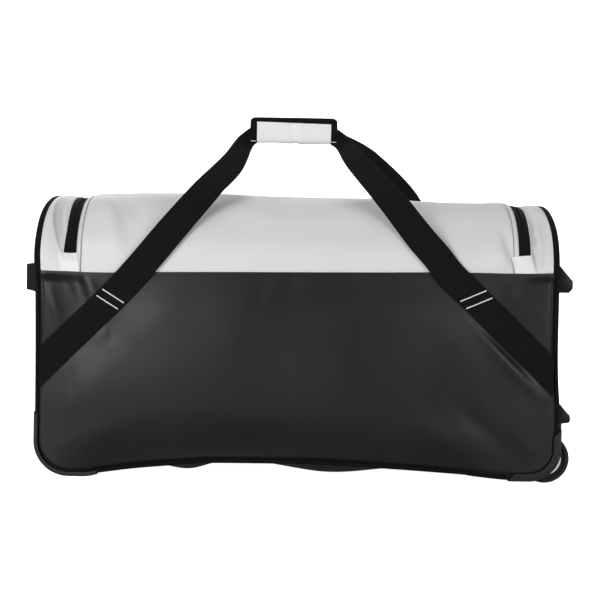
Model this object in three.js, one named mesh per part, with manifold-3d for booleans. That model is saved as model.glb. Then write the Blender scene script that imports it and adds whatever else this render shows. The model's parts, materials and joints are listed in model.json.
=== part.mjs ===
// A wheeled duffel bag: fabric body with an arched zip roof, carry straps held in a grip, corner
// guards at one end, wheels and stand feet at the other. Millimetres, +Z up; the front is -Y and
// the wheels are at +X.
import * as THREE from "three";
import { mergeVertices } from "three/addons/utils/BufferGeometryUtils.js";
import Module from "manifold-3d";

const wasm = await Module();
wasm.setup();

const { clamp, degToRad, lerp, smoothstep } = THREE.MathUtils;
const at = (x, y, z) => new THREE.Vector3(x, y, z);

// Driving dimensions
const FABRIC = 2;
const CLEAR = 0.4;
const SEAM_INSET = 5.6;
const END_INSET = 7;
const ARCH_POWER = 2.25;
const END_X = 396;
const PIPING_RADIUS = 3.5;
const WEBBING_WIDTH = 45;
const WEBBING_THICKNESS = 2.2;
const STRAP_CLEAR = 1.8;
const HANDLE_REACH = 445;
const FOOT_REACH = 427;
const ARC_STEPS = 7;

// The body along its length: heights of the roof's crest, the side seam and the lower edge, half
// the depth at the seams, and how far the lower sides belly out between them.
const SECTIONS = [
  { x: -400, crest: 430, seam: 316, base: 3.5, depth: 185, belly: 0 },
  { x: -340, crest: 431, seam: 314.5, base: 3.5, depth: 186, belly: 4 },
  { x: -322, crest: 432, seam: 314, base: 3.5, depth: 186.5, belly: 5 },
  { x: -300, crest: 433, seam: 314, base: 8, depth: 187, belly: 6 },
  { x: -220, crest: 435, seam: 316, base: 18.5, depth: 188, belly: 8 },
  { x: -110, crest: 434.5, seam: 318, base: 26.5, depth: 189, belly: 9 },
  { x: 0, crest: 432.5, seam: 319.5, base: 27, depth: 189, belly: 9 },
  { x: 130, crest: 432, seam: 321.5, base: 22.5, depth: 189, belly: 9 },
  { x: 250, crest: 428.5, seam: 323.5, base: 15.5, depth: 188, belly: 7 },
  { x: 340, crest: 428.5, seam: 323, base: 9.2, depth: 186, belly: 3 },
  { x: 400, crest: 428, seam: 325, base: 9.2, depth: 185, belly: 0 },
];

// How far each end stands out from the middle at a height, and its lower corner's radius.
const LEFT_END = {
  side: -1,
  corner: 51,
  base: 3.5,
  profile: [
    { z: 0, reach: 398.5 },
    { z: 120, reach: 398 },
    { z: 285, reach: 399 },
    { z: 350, reach: 402 },
    { z: 400, reach: 401 },
    { z: 435, reach: 396.5 },
  ],
};
const RIGHT_END = {
  side: 1,
  corner: 45,
  base: 9.2,
  profile: [
    { z: 0, reach: 406 },
    { z: 110, reach: 405.5 },
    { z: 165, reach: 402 },
    { z: 215, reach: 400.5 },
    { z: 380, reach: 400 },
    { z: 435, reach: 397 },
  ],
};

// Rise and dip of the roof's fabric, by distance from the end seam: shoulder, zip valley, lid.
const ROOF_RELIEF = [
  { fromEnd: 0, lift: 0 },
  { fromEnd: 20, lift: 2.5 },
  { fromEnd: 42, lift: -1.5 },
  { fromEnd: 58, lift: -0.5 },
  { fromEnd: 72, lift: 4.5 },
  { fromEnd: 105, lift: 5 },
  { fromEnd: 160, lift: 5 },
];
const RELIEF_FADE = 60;

// Main folds of the lower sides, as ridges (plus) and valleys (minus) along a line.
const SIDE_FOLDS = [
  { x0: -352, z0: 312, x1: -335, z1: 215, width: 16, lift: -4 },
  { x0: -318, z0: 312, x1: -300, z1: 230, width: 18, lift: 3 },
  { x0: 235, z0: 225, x1: 320, z1: 125, width: 26, lift: 3 },
  { x0: 275, z0: 238, x1: 368, z1: 140, width: 14, lift: -5 },
  { x0: -300, z0: 60, x1: -120, z1: 110, width: 34, lift: -3 },
];

// Places where the base hangs lower between the guards and the wheels.
const BASE_SAGS = [
  { x: -163, length: 42, drop: 23 },
  { x: 50, length: 88, drop: 23 },
];
const SAG_EDGE = 32;

// The zip's U: two runs over the roof and one along the back, with rounded turns.
const ZIP = { x: 348.5, width: 18.5, turn: 60, aboveBackSeam: 45, recess: 0.8 };
const LID_EDGE = { width: 6.4, lift: 0.8 };
const TAB = { lift: 2.8, thickness: 1.5, from: 1, to: 29 };
const TABS = [
  { name: "zip_tab_left", top: -352.5, foot: -348.5, width: 30 },
  { name: "zip_tab_right", top: 343, foot: 350, width: 31 },
];
const SLIDER = { x: 24, length: 16, width: 9, height: 5, pullLength: 26, pullWidth: 7, pull: 1.6 };

// The straps' middle lines, from the left end seam to the right one. Rows without y lie on the side.
const FRONT_STRAP = [
  { x: -393.2, z: 168, width: 45 },
  { x: -345, z: 215.5, width: 45 },
  { x: -285, z: 274.5, width: 45 },
  { x: -249, z: 314, width: 45 },
  { x: -222, y: 194.5, z: 346, width: 45 },
  { x: -197, y: 190, z: 377, width: 45 },
  { x: -148, y: 154, z: 438, width: 43 },
  { x: -106, y: 68, z: 497, width: 36 },
  { x: -84, y: 10, z: 532, width: 26 },
  { x: -62, y: 5.4, z: 545, width: 26 },
  { x: -40, y: 5, z: 547, width: 26 },
  { x: 20, y: 5, z: 547, width: 26 },
  { x: 42, y: 5.4, z: 545, width: 26 },
  { x: 65, y: 10, z: 532, width: 26 },
  { x: 90, y: 68, z: 498, width: 36 },
  { x: 143, y: 154, z: 433.5, width: 43 },
  { x: 188, y: 190, z: 375, width: 45 },
  { x: 211, y: 194.5, z: 349, width: 45 },
  { x: 234, z: 321, width: 45 },
  { x: 274, z: 283, width: 45 },
  { x: 340, z: 219.5, width: 45 },
  { x: 396, z: 167, width: 45 },
];
const BACK_STRAP = [
  ...FRONT_STRAP.slice(0, 5),
  { x: -211, y: 189, z: 376, width: 45 },
  { x: -176, y: 156, z: 434, width: 45 },
  { x: -112, y: 72, z: 496, width: 37 },
  ...FRONT_STRAP.slice(8, 14),
  { x: 116, y: 72, z: 497, width: 39 },
  { x: 198, y: 156, z: 430, width: 45 },
  { x: 212, y: 189, z: 376, width: 45 },
  ...FRONT_STRAP.slice(17),
];
const GRIP = { x: -10, z: 547.5, length: 143, height: 41, depth: 22, corner: 6, slack: 0.6 };
const PATCH = { length: 121, top: 560, thickness: 1.2 };

// The webbing handle on the left end, as half of its bow from the middle outwards.
const SIDE_HANDLE = { z: 300, middleHeight: 42, endHeight: 50, thickness: 3 };
const SIDE_HANDLE_BOW = [
  { y: 0, x: -HANDLE_REACH + 1.5 },
  { y: 28, x: -441 },
  { y: 58, x: -425 },
  { y: 84, x: -411 },
  { y: 104, x: -405.6 },
  { y: 132, x: -404.2 },
];
const LEFT_END_BULGE = 3;

// Edge guard of the lower left corners, and rim of the wheel housings, across their sections:
// p outwards from the fabric's outline, q backwards from the front.
const GUARD_TOP = 99;
const GUARD_TAIL = -303;
const GUARD_SECTION = [
  [-6.5, -0.4], [-6.5, -2], [-5.5, -3], [2, -3], [3.5, -1.5], [3.5, 18], [0.7, 18], [0.7, 5],
  [-5, 5], [-5, -0.4],
];
const RIM_TOP = 87;
const RIM_TAIL = 324;
const RIM_SECTION = [
  [-8.3, -0.4], [-8.3, -3], [-7, -4], [3.5, -4], [5.2, -2.3], [5.2, 5], [-5, 5], [-5, -0.4],
];
const RUNNER_TAIL = 256;
const RUNNER_SECTION = [[1, 5.6], [4.2, 5.6], [4.2, 38], [1, 38]];

// Wheel, its well and its axle.
const WHEEL = { x: 387.5, y: 164, radius: 38, width: 24, hub: 26, axle: 4, segments: 28 };
const HUB = { proud: 1.5, collar: 10, dishStart: 12, dishEnd: 20, rim: 22, hollow: 7 };
const TYRE = { shoulder: 4, flank: 6, round: 1.2, flankRound: 2.5 };
const WELL = { radius: 42.5, wall: 3, front: 182.2, back: 146, cheek: 2.6, floor: 7, inset: 1.8 };
const AXLE_HEAD = { radius: 8, thickness: 2.5 };

// Stand feet on the right end, as their outlines seen from the front.
const FOOT = { y: 150, width: 44 };
const FEET = {
  stand_foot_upper: [[401, 295], [420, 296], [427, 302], [427, 311], [405, 337], [401, 339]],
  stand_foot_lower: [[407.4, 91], [417, 91], [427, 93], [427, 101.5], [413, 114.5], [407.4, 119]],
};

const BLACK_FABRIC = { color: 0x1f1f20, roughness: 0.5, metalness: 0 };
const GREY_FABRIC = { color: 0xd3d2d1, roughness: 0.5, metalness: 0 };
const PALE_FABRIC = { color: 0xe8e8e7, roughness: 0.55, metalness: 0 };
const BLACK_WEBBING = { color: 0x121213, roughness: 0.85, metalness: 0 };
const ZIP_BLACK = { color: 0x17171a, roughness: 0.7, metalness: 0 };
const DARK_PLASTIC = { color: 0x2c2c2d, roughness: 0.45, metalness: 0 };
const FOOT_PLASTIC = { color: 0x141415, roughness: 0.35, metalness: 0 };
const HUB_PLASTIC = { color: 0xdcdcda, roughness: 0.4, metalness: 0 };
const TYRE_RUBBER = { color: 0x1a1a1b, roughness: 0.75, metalness: 0 };
const STEEL = { color: 0x9a9c9e, roughness: 0.35, metalness: 1 };

// Tables

/** A table's column at a place between its rows: a smooth curve that never passes beyond them. */
function along(rows, key, column, place) {
  const last = rows.length - 1;
  const spot = clamp(place, rows[0][key], rows[last][key]);
  const next = Math.max(1, rows.findIndex((row) => row[key] >= spot));
  const [before, after] = [rows[next - 1], rows[next]];
  const rise = (row) => (rows[row + 1][column] - rows[row][column]) / (rows[row + 1][key] - rows[row][key]);
  const slope = (row) => {
    const [left, right] = [rise(Math.max(row - 1, 0)), rise(Math.min(row, last - 1))];
    return left * right > 0 ? (2 * left * right) / (left + right) : 0;
  };
  const span = after[key] - before[key];
  const t = (spot - before[key]) / span;
  const ease = t * t * (3 - 2 * t);
  const leave = t * (1 - t) ** 2 * slope(next - 1) * span;
  const arrive = t * t * (t - 1) * slope(next) * span;
  return lerp(before[column], after[column], ease) + leave + arrive;
}

const section = (x, column) => along(SECTIONS, "x", column, x);
const endReach = (end, z) => along(end.profile, "z", "reach", z);
const steps = (from, to, count) => Array.from({ length: count + 1 }, (_, i) => lerp(from, to, i / count));

// Solids

/** A closed solid from points and triangles, with its faces turned outwards. */
function solid(points, triangles) {
  const volume = triangles.reduce((sum, [a, b, c]) => {
    return sum + points[a].dot(points[b].clone().cross(points[c]));
  }, 0);
  const faces = volume < 0 ? triangles.map(([a, b, c]) => [a, c, b]) : triangles;
  const geometry = new THREE.BufferGeometry().setFromPoints(points);
  geometry.setIndex(faces.flat());
  return geometry;
}

/** A fabric wall: a curved grid and the same grid set back along its normals, joined at the edges. */
function wall(surface, us, vs, thickness) {
  const outer = [];
  const inner = [];
  const nudge = 0.002;
  const core = at(0, 0, 200);
  for (const v of vs) {
    for (const u of us) {
      const point = surface(u, v);
      const du = surface(Math.min(u + nudge, 1), v).sub(surface(Math.max(u - nudge, 0), v));
      const dv = surface(u, Math.min(v + nudge, 1)).sub(surface(u, Math.max(v - nudge, 0)));
      const normal = du.cross(dv).normalize();
      const outwards = Math.sign(normal.dot(point.clone().sub(core)));
      outer.push(point);
      inner.push(point.clone().addScaledVector(normal, -outwards * thickness));
    }
  }
  const width = us.length;
  const offset = outer.length;
  const triangles = [];
  const quad = (a, b, c, d) => triangles.push([a, b, c], [a, c, d]);
  for (let row = 0; row + 1 < vs.length; row += 1) {
    const lower = row * width;
    const upper = lower + width;
    for (let i = 0; i + 1 < width; i += 1) {
      quad(lower + i, lower + i + 1, upper + i + 1, upper + i);
      quad(offset + lower + i, offset + upper + i, offset + upper + i + 1, offset + lower + i + 1);
    }
    quad(lower, upper, offset + upper, offset + lower);
    quad(lower + width - 1, offset + lower + width - 1, offset + upper + width - 1, upper + width - 1);
  }
  const top = offset - width;
  for (let i = 0; i + 1 < width; i += 1) {
    quad(i, offset + i, offset + i + 1, i + 1);
    quad(top + i, top + i + 1, offset + top + i + 1, offset + top + i);
  }
  return solid([...outer, ...inner], triangles);
}

/** A section of [p, q] points carried along frames of { origin, across, out }, closed at both ends. */
function sweep(outline, frames) {
  const flat = outline.map(([p, q]) => new THREE.Vector2(p, q));
  if (THREE.ShapeUtils.isClockWise(flat)) flat.reverse();
  const count = flat.length;
  const points = frames.flatMap(({ origin, across, out }) => flat.map((point) => {
    return origin.clone().addScaledVector(across, point.x).addScaledVector(out, point.y);
  }));
  const triangles = [];
  for (let ring = 0; ring + 1 < frames.length; ring += 1) {
    for (let side = 0; side < count; side += 1) {
      const a = ring * count + side;
      const b = ring * count + (side + 1) % count;
      triangles.push([a, b, b + count], [a, b + count, a + count]);
    }
  }
  const last = (frames.length - 1) * count;
  for (const face of THREE.ShapeUtils.triangulateShape(flat, [])) {
    const turned = THREE.ShapeUtils.isClockWise(face.map((i) => flat[i]));
    const [a, b, c] = turned ? [...face].reverse() : face;
    triangles.push([c, b, a], [last + a, last + b, last + c]);
  }
  return solid(points, triangles);
}

/** An outline in the XZ plane, given thickness between two places along Y. */
function plate(shape, fromY, toY) {
  const depth = toY - fromY;
  const geometry = new THREE.ExtrudeGeometry(shape, { depth, bevelEnabled: false, curveSegments: 8 });
  geometry.rotateX(Math.PI / 2);
  geometry.translate(0, toY, 0);
  return geometry;
}

function toManifold(geometry) {
  const bare = geometry.clone();
  bare.deleteAttribute("normal");
  bare.deleteAttribute("uv");
  const merged = mergeVertices(bare, 1e-4);
  return new wasm.Manifold(new wasm.Mesh({
    numProp: 3,
    vertProperties: new Float32Array(merged.attributes.position.array),
    triVerts: new Uint32Array(merged.index.array),
  }));
}

function fromManifold(body) {
  const mesh = body.getMesh();
  const geometry = new THREE.BufferGeometry();
  geometry.setAttribute("position", new THREE.BufferAttribute(mesh.vertProperties, 3));
  geometry.setIndex(new THREE.BufferAttribute(mesh.triVerts, 1));
  return geometry;
}

function join(geometries) {
  return fromManifold(geometries.map(toManifold).reduce((whole, piece) => whole.add(piece)));
}

function cut(geometry, tools) {
  const whole = toManifold(geometry);
  return fromManifold(tools.map(toManifold).reduce((rest, tool) => rest.subtract(tool), whole));
}

/** The same solid at the back of the bag. */
function mirrored(geometry) {
  const copy = geometry.clone();
  copy.scale(1, -1, 1);
  const order = copy.index ? [...copy.index.array] : [...Array(copy.attributes.position.count).keys()];
  for (let i = 0; i < order.length; i += 3) {
    [order[i], order[i + 1]] = [order[i + 1], order[i]];
  }
  copy.setIndex(order);
  return copy;
}

// Body surfaces

/** Share of the roof's girth at each of its arch angles, on the middle section. */
const GIRTH = (() => {
  const rows = [{ angle: 0, girth: 0 }];
  const point = (angle) => archPoint(0, angle);
  for (const angle of steps(0, Math.PI, 120).slice(1)) {
    const before = rows.at(-1);
    rows.push({ angle, girth: before.girth + point(angle).distanceTo(point(before.angle)) });
  }
  return rows;
})();
const GIRTH_LENGTH = GIRTH.at(-1).girth;

function archPoint(x, angle) {
  const power = 2 / ARCH_POWER;
  const cosine = Math.cos(angle);
  const seam = section(x, "seam");
  const depth = section(x, "depth");
  const y = -Math.sign(cosine) * depth * Math.abs(cosine) ** power;
  const z = seam + (section(x, "crest") - seam) * Math.max(Math.sin(angle), 0) ** power;
  return at(x, y, z);
}

/** Direction of the arch, up from the front and over to the back. */
function archTangent(x, angle) {
  const nudge = 0.01;
  const ahead = archPoint(x, Math.min(angle + nudge, Math.PI));
  return ahead.sub(archPoint(x, Math.max(angle - nudge, 0))).normalize();
}

/** A point of the roof: x along the bag, girth up from the front seam and over to the back one. */
function roof(x, girth, lift = 0) {
  const angle = along(GIRTH, "girth", "angle", girth);
  const tangent = archTangent(x, angle);
  const normal = at(0, -tangent.z, tangent.y);
  const point = archPoint(x, angle);
  const end = x < 0 ? LEFT_END : RIGHT_END;
  const fromEnd = endReach(end, point.z) - Math.abs(x);
  const fade = smoothstep(Math.min(girth, GIRTH_LENGTH - girth), 0, RELIEF_FADE);
  const relief = along(ROOF_RELIEF, "fromEnd", "lift", fromEnd) * fade;
  return point.addScaledVector(normal, relief + lift);
}

/** How far the folds lift a lower side at a place. */
function foldLift(x, z) {
  return SIDE_FOLDS.reduce((sum, { x0, z0, x1, z1, width, lift }) => {
    const length = (x1 - x0) ** 2 + (z1 - z0) ** 2;
    const share = clamp(((x - x0) * (x1 - x0) + (z - z0) * (z1 - z0)) / length, 0, 1);
    const gap = Math.hypot(x - lerp(x0, x1, share), z - lerp(z0, z1, share));
    return sum + lift * Math.exp(-((gap / width) ** 2));
  }, 0);
}

/** Half the bag's depth on a lower side. */
function sideDepth(x, z) {
  const base = section(x, "base");
  const seam = section(x, "seam");
  const height = clamp((z - base) / (seam - base), 0, 1);
  const fromEnd = Math.min(Math.abs(x + endReach(LEFT_END, z)), Math.abs(endReach(RIGHT_END, z) - x));
  const still = smoothstep(fromEnd, 6, 45) * Math.sin(Math.PI * height) ** 0.8;
  return section(x, "depth") + section(x, "belly") * Math.sin(Math.PI * height) + foldLift(x, z) * still;
}

/** Where a lower side ends at a height, round the lower corner too. */
function sideEdge(end, height) {
  const reach = endReach(end, end.base + height);
  if (height >= end.corner) return end.side * reach;
  const middle = endReach(end, end.base + end.corner) - end.corner;
  return end.side * (middle + Math.sqrt(end.corner ** 2 - (end.corner - height) ** 2));
}

/** The corner line of the body at one end: down the end, round the corner and along the base. */
function cornerLine(end, top, tail, arcSteps) {
  const middleX = endReach(end, end.base + end.corner) - end.corner;
  const middleZ = end.base + end.corner;
  const line = [];
  for (const z of steps(top, middleZ, 2).slice(0, -1)) {
    line.push({ x: end.side * endReach(end, z), z, outX: end.side, outZ: 0 });
  }
  for (const angle of steps(0, Math.PI / 2, arcSteps)) {
    const outX = end.side * Math.cos(angle);
    const outZ = -Math.sin(angle);
    line.push({ x: end.side * middleX + end.corner * outX, z: middleZ + end.corner * outZ, outX, outZ });
  }
  for (const x of steps(end.side * middleX, tail, 4).slice(1)) {
    line.push({ x, z: section(x, "base"), outX: 0, outZ: -1 });
  }
  return line;
}

const cornerFrames = (line) => line.map(({ x, z, outX, outZ }) => ({
  origin: at(x, -section(x, "depth"), z),
  across: at(outX, 0, outZ),
  out: at(0, 1, 0),
}));

// Fabric

function sidePanel() {
  const cornerRows = [0.12, 0.3, 0.6, 1].map((share) => share * LEFT_END.corner);
  const tallest = section(-340, "seam") - LEFT_END.base;
  const heights = [SEAM_INSET, ...cornerRows, ...steps(LEFT_END.corner, tallest, 7).slice(1)];
  const rows = heights.map((height) => height / tallest);
  const surface = (u, v) => {
    const height = v * tallest;
    const left = sideEdge(LEFT_END, height) + SEAM_INSET;
    const right = sideEdge(RIGHT_END, height) - SEAM_INSET;
    const x = lerp(left, right, u);
    const base = section(x, "base");
    const z = base + v * (section(x, "seam") - CLEAR - base);
    return at(x, -sideDepth(x, z), z);
  };
  return wall(surface, steps(0, 1, 20), rows, FABRIC);
}

function basePanel() {
  const arcSteps = 5;
  const left = cornerLine(LEFT_END, GUARD_TOP, -300, arcSteps).slice(2, -1);
  const right = cornerLine(RIGHT_END, GUARD_TOP, 300, arcSteps).slice(2, -1).reverse();
  const middle = SECTIONS.filter(({ x }) => Math.abs(x) < 310).map(({ x, base }) => ({ x, z: base }));
  const points = [...left, ...middle, ...right].map(({ x, z }) => at(x, 0, z));
  const path = new THREE.CatmullRomCurve3(points, false, "centripetal");
  const surface = (u, v) => {
    const { x, z } = path.getPoint(u);
    const y = (section(x, "depth") - SEAM_INSET) * lerp(-1, 1, v);
    const sag = BASE_SAGS.reduce((sum, row) => {
      return sum + row.drop * Math.exp(-(((x - row.x) / row.length) ** 2));
    }, 0);
    const loose = smoothstep(section(x, "depth") - SEAM_INSET - Math.abs(y), 0, SAG_EDGE);
    return at(x, y, z - sag * loose);
  };
  return wall(surface, steps(0, 1, 30), [0, 0.07, 0.15, 0.25, 0.4, 0.6, 0.75, 0.85, 0.93, 1], FABRIC);
}

function endPanel(end) {
  const x = end.side * END_X;
  const foot = end.base + end.corner + 2 * CLEAR;
  const seam = section(x, "seam");
  const crest = section(x, "crest");
  const power = 2 / ARCH_POWER;
  const archRows = steps(0, degToRad(82), 7).map((angle) => ({
    z: seam + (crest - seam - END_INSET) * Math.sin(angle) ** power,
    half: (section(x, "depth") - END_INSET) * Math.cos(angle) ** power,
  }));
  const sideRows = steps(foot, seam, 6).slice(0, -1).map((z) => ({ z, half: archRows[0].half }));
  const rows = [...sideRows, ...archRows];
  const surface = (u, v) => {
    const z = lerp(rows[0].z, rows.at(-1).z, v);
    const y = along(rows, "z", "half", z) * lerp(-1, 1, u);
    const bulge = end === LEFT_END ? LEFT_END_BULGE : 0;
    const puff = bulge * Math.cos(y / section(x, "depth") * Math.PI / 2) * Math.sin(Math.PI * v);
    return at(end.side * (endReach(end, z) + puff), y, z);
  };
  const heights = rows.map((row) => (row.z - rows[0].z) / (rows.at(-1).z - rows[0].z));
  return wall(surface, steps(0, 1, 8), heights, FABRIC);
}

const zipTurnStart = GIRTH_LENGTH - ZIP.aboveBackSeam - ZIP.turn;
const lidInset = ZIP.width / 2 + LID_EDGE.width + 4 * CLEAR;

/** The zip's middle line set off sideways: plus is outwards, away from the lid. */
function zipLine(offset) {
  const points = [];
  const turnX = ZIP.x - ZIP.turn;
  const radius = ZIP.turn + offset;
  for (const girth of steps(1, zipTurnStart, 13).slice(0, -1)) points.push([-ZIP.x - offset, girth]);
  for (const angle of steps(0, Math.PI / 2, 6)) {
    points.push([-turnX - radius * Math.cos(angle), zipTurnStart + radius * Math.sin(angle)]);
  }
  const backRun = steps(-turnX, turnX, 10).slice(1, -1).map((x) => [x, zipTurnStart + radius]);
  const otherSide = points.map(([x, girth]) => [-x, girth]).reverse();
  return [...points, ...backRun, ...otherSide];
}

/** A band of fabric that follows the zip's U, between two offsets from its middle line. */
function zipBand(inner, outer, lift) {
  const rows = [zipLine(outer), zipLine(inner)];
  const count = rows[0].length - 1;
  const surface = (u, v) => {
    const place = clamp(u, 0, 1) * count;
    const index = Math.min(Math.floor(place), count - 1);
    const spot = (row) => [0, 1].map((k) => lerp(row[index][k], row[index + 1][k], place - index));
    const [outside, inside] = rows.map(spot);
    return roof(lerp(outside[0], inside[0], v), lerp(outside[1], inside[1], v), lift);
  };
  return wall(surface, steps(0, 1, count), [0, 1], FABRIC);
}

function shoulder(end) {
  const inner = ZIP.x + ZIP.width / 2 + CLEAR;
  const surface = (u, v) => {
    const girth = lerp(CLEAR, GIRTH_LENGTH - CLEAR, v);
    const angle = along(GIRTH, "girth", "angle", girth);
    const outer = endReach(end, archPoint(end.side * END_X, angle).z) - SEAM_INSET;
    return roof(end.side * lerp(outer, inner, u), girth);
  };
  return wall(surface, steps(0, 1, 4), steps(0, 1, 20), FABRIC);
}

function backYoke() {
  const half = ZIP.x + ZIP.width / 2 - CLEAR;
  const turnX = ZIP.x - ZIP.turn;
  const radius = ZIP.turn + ZIP.width / 2 + 3 * CLEAR;
  const surface = (u, v) => {
    const x = lerp(-half, half, u);
    const past = Math.max(Math.abs(x) - turnX, 0);
    const top = zipTurnStart + Math.sqrt(radius ** 2 - past ** 2);
    return roof(x, lerp(top, GIRTH_LENGTH - CLEAR, v));
  };
  const columns = [0, 0.008, 0.025, 0.05, 0.08, ...steps(0.12, 0.88, 9), 0.92, 0.95, 0.975, 0.992, 1];
  return wall(surface, columns, steps(0, 1, 3), FABRIC);
}

function lid() {
  const half = ZIP.x - lidInset;
  const turn = ZIP.turn - lidInset;
  const back = zipTurnStart + turn;
  const surface = (u, v) => {
    const girth = lerp(CLEAR, back, v);
    const past = Math.max(girth - zipTurnStart, 0);
    const reach = half - turn + Math.sqrt(Math.max(turn ** 2 - past ** 2, 0));
    return roof(lerp(-reach, reach, u), girth);
  };
  const turnShare = zipTurnStart / back;
  const turnRows = [0.45, 0.75, 0.92, 1].map((share) => lerp(turnShare, 1, share));
  const rows = [...steps(0, turnShare, 13), ...turnRows];
  const columns = [0, 0.03, 0.07, 0.13, ...steps(0.2, 0.8, 8), 0.87, 0.93, 0.97, 1];
  return wall(surface, columns, rows, FABRIC);
}

function zipTab({ top, foot, width }) {
  const surface = (u, v) => {
    const x = lerp(foot, top, v) + width * (u - 0.5);
    return roof(x, lerp(TAB.from, TAB.to, v), TAB.lift);
  };
  return wall(surface, steps(0, 1, 3), steps(0, 1, 3), TAB.thickness);
}

function zipSlider(x) {
  const girth = zipTurnStart + ZIP.turn;
  const spot = roof(x, girth, SLIDER.height / 2 + CLEAR);
  const lower = roof(x, girth + SLIDER.pullLength / 2, SLIDER.height / 2 + CLEAR);
  const body = new THREE.BoxGeometry(SLIDER.length, SLIDER.width, SLIDER.height);
  const pull = new THREE.BoxGeometry(SLIDER.pullWidth, SLIDER.pullLength, SLIDER.pull);
  pull.translate(0, -SLIDER.pullLength / 2, SLIDER.height / 2);
  const whole = join([body, pull]);
  const down = lower.clone().sub(spot).normalize();
  const sideways = at(1, 0, 0);
  const out = sideways.clone().cross(down);
  const turn = new THREE.Matrix4().makeBasis(sideways.negate(), down.clone().negate(), out);
  whole.applyMatrix4(turn);
  whole.translate(spot.x, spot.y, spot.z);
  return whole;
}

// Piping

const roundSection = steps(0, 2 * Math.PI, 8).slice(0, -1)
  .map((angle) => [PIPING_RADIUS * Math.cos(angle), PIPING_RADIUS * Math.sin(angle)]);
const PIPING_SET = 1.5;

/** Piping over one end: up the front edge, over the arch and down the back edge. */
function endPiping(end, foot) {
  const x = end.side * END_X;
  const seam = section(x, "seam");
  const halfLoop = [];
  for (const z of steps(foot, seam, 6).slice(0, -1)) {
    halfLoop.push({ y: section(x, "depth") - PIPING_SET, z, outY: 1, outZ: 0 });
  }
  for (const angle of steps(0, Math.PI / 2, 10)) {
    const near = archPoint(x, angle);
    const tangent = archTangent(x, angle);
    const out = at(0, tangent.z, tangent.y);
    const y = -near.y - out.y * PIPING_SET;
    const z = near.z - out.z * PIPING_SET;
    halfLoop.push({ y, z, outY: out.y, outZ: out.z });
  }
  const otherHalf = halfLoop.slice(0, -1).reverse();
  const frame = (facing) => ({ y, z, outY, outZ }) => ({
    origin: at(end.side * (endReach(end, z) - PIPING_SET), facing * y, z),
    across: at(1, 0, 0),
    out: at(0, facing * outY, outZ),
  });
  return sweep(roundSection, [...halfLoop.map(frame(-1)), ...otherHalf.map(frame(1))]);
}

function basePiping() {
  const frames = steps(GUARD_TAIL + 2 * CLEAR, RIM_TAIL - 2 * CLEAR, 12).map((x) => ({
    origin: at(x, -section(x, "depth") + PIPING_SET, section(x, "base") + PIPING_SET),
    across: at(0, 1, 0),
    out: at(0, 0, 1),
  }));
  return sweep(roundSection, frames);
}

// Webbing

/** A strap's frames along a smooth line through its rows; its flat keeps to the XZ plane. */
function strapFrames(rows) {
  const points = rows.map(({ x, y, z }) => at(x, -(y ?? strapDepth(x, z)), z));
  const curve = new THREE.CatmullRomCurve3(points, false, "centripetal");
  const perRow = 2;
  const count = (rows.length - 1) * perRow;
  return steps(0, 1, count).map((t, i) => {
    const origin = curve.getPoint(t);
    const tangent = curve.getTangent(t);
    const flat = at(-tangent.z, 0, tangent.x).normalize();
    const row = Math.min(Math.floor(i / perRow), rows.length - 2);
    const width = lerp(rows[row].width, rows[row + 1].width, i / perRow - row);
    if (!rows[row].y && !rows[row + 1].y) origin.y = -strapDepth(origin.x, origin.z);
    const atSeam = i === 0 || i === count;
    const across = atSeam ? at(0, 0, 1 / flat.z) : flat.clone();
    return { origin, across: across.multiplyScalar(width), out: tangent.cross(flat) };
  });
}

/** Half depth of a strap's middle line where it lies on a lower side, clear of the fabric below it. */
function strapDepth(x, z) {
  const half = WEBBING_WIDTH / 2;
  const under = [[0, 0], [1, 0], [-1, 0], [0, 1], [0, -1]]
    .map(([alongX, alongZ]) => sideDepth(x + alongX * half, z + alongZ * half));
  return Math.max(...under) + WEBBING_THICKNESS / 2 + STRAP_CLEAR;
}

function strap(rows, grow = 0) {
  const half = 0.5 + grow / WEBBING_WIDTH;
  const thick = WEBBING_THICKNESS / 2 + grow;
  return sweep([[-half, -thick], [half, -thick], [half, thick], [-half, thick]], strapFrames(rows));
}

function roundedBox(width, height, corner) {
  const shape = new THREE.Shape();
  const [x, y] = [width / 2, height / 2];
  shape.moveTo(-x + corner, -y);
  shape.lineTo(x - corner, -y);
  shape.absarc(x - corner, -y + corner, corner, -Math.PI / 2, 0);
  shape.absarc(x - corner, y - corner, corner, 0, Math.PI / 2);
  shape.absarc(-x + corner, y - corner, corner, Math.PI / 2, Math.PI);
  shape.absarc(-x + corner, -y + corner, corner, Math.PI, 1.5 * Math.PI);
  return shape;
}

/** A section in the YZ plane, given length along X about the grip's middle. */
function alongGrip(shape, length) {
  const geometry = new THREE.ExtrudeGeometry(shape, { depth: length, bevelEnabled: false, curveSegments: 4 });
  geometry.translate(0, 0, -length / 2);
  geometry.rotateY(Math.PI / 2);
  geometry.rotateX(Math.PI / 2);
  geometry.translate(GRIP.x, 0, GRIP.z);
  return geometry;
}

/** Space that the two straps take inside the grip. */
const strapSpaces = () => [strap(FRONT_STRAP, GRIP.slack), mirrored(strap(BACK_STRAP, GRIP.slack))];

function gripSleeve() {
  const sleeve = alongGrip(roundedBox(GRIP.depth, GRIP.height, GRIP.corner), GRIP.length);
  return cut(sleeve, strapSpaces());
}

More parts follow.
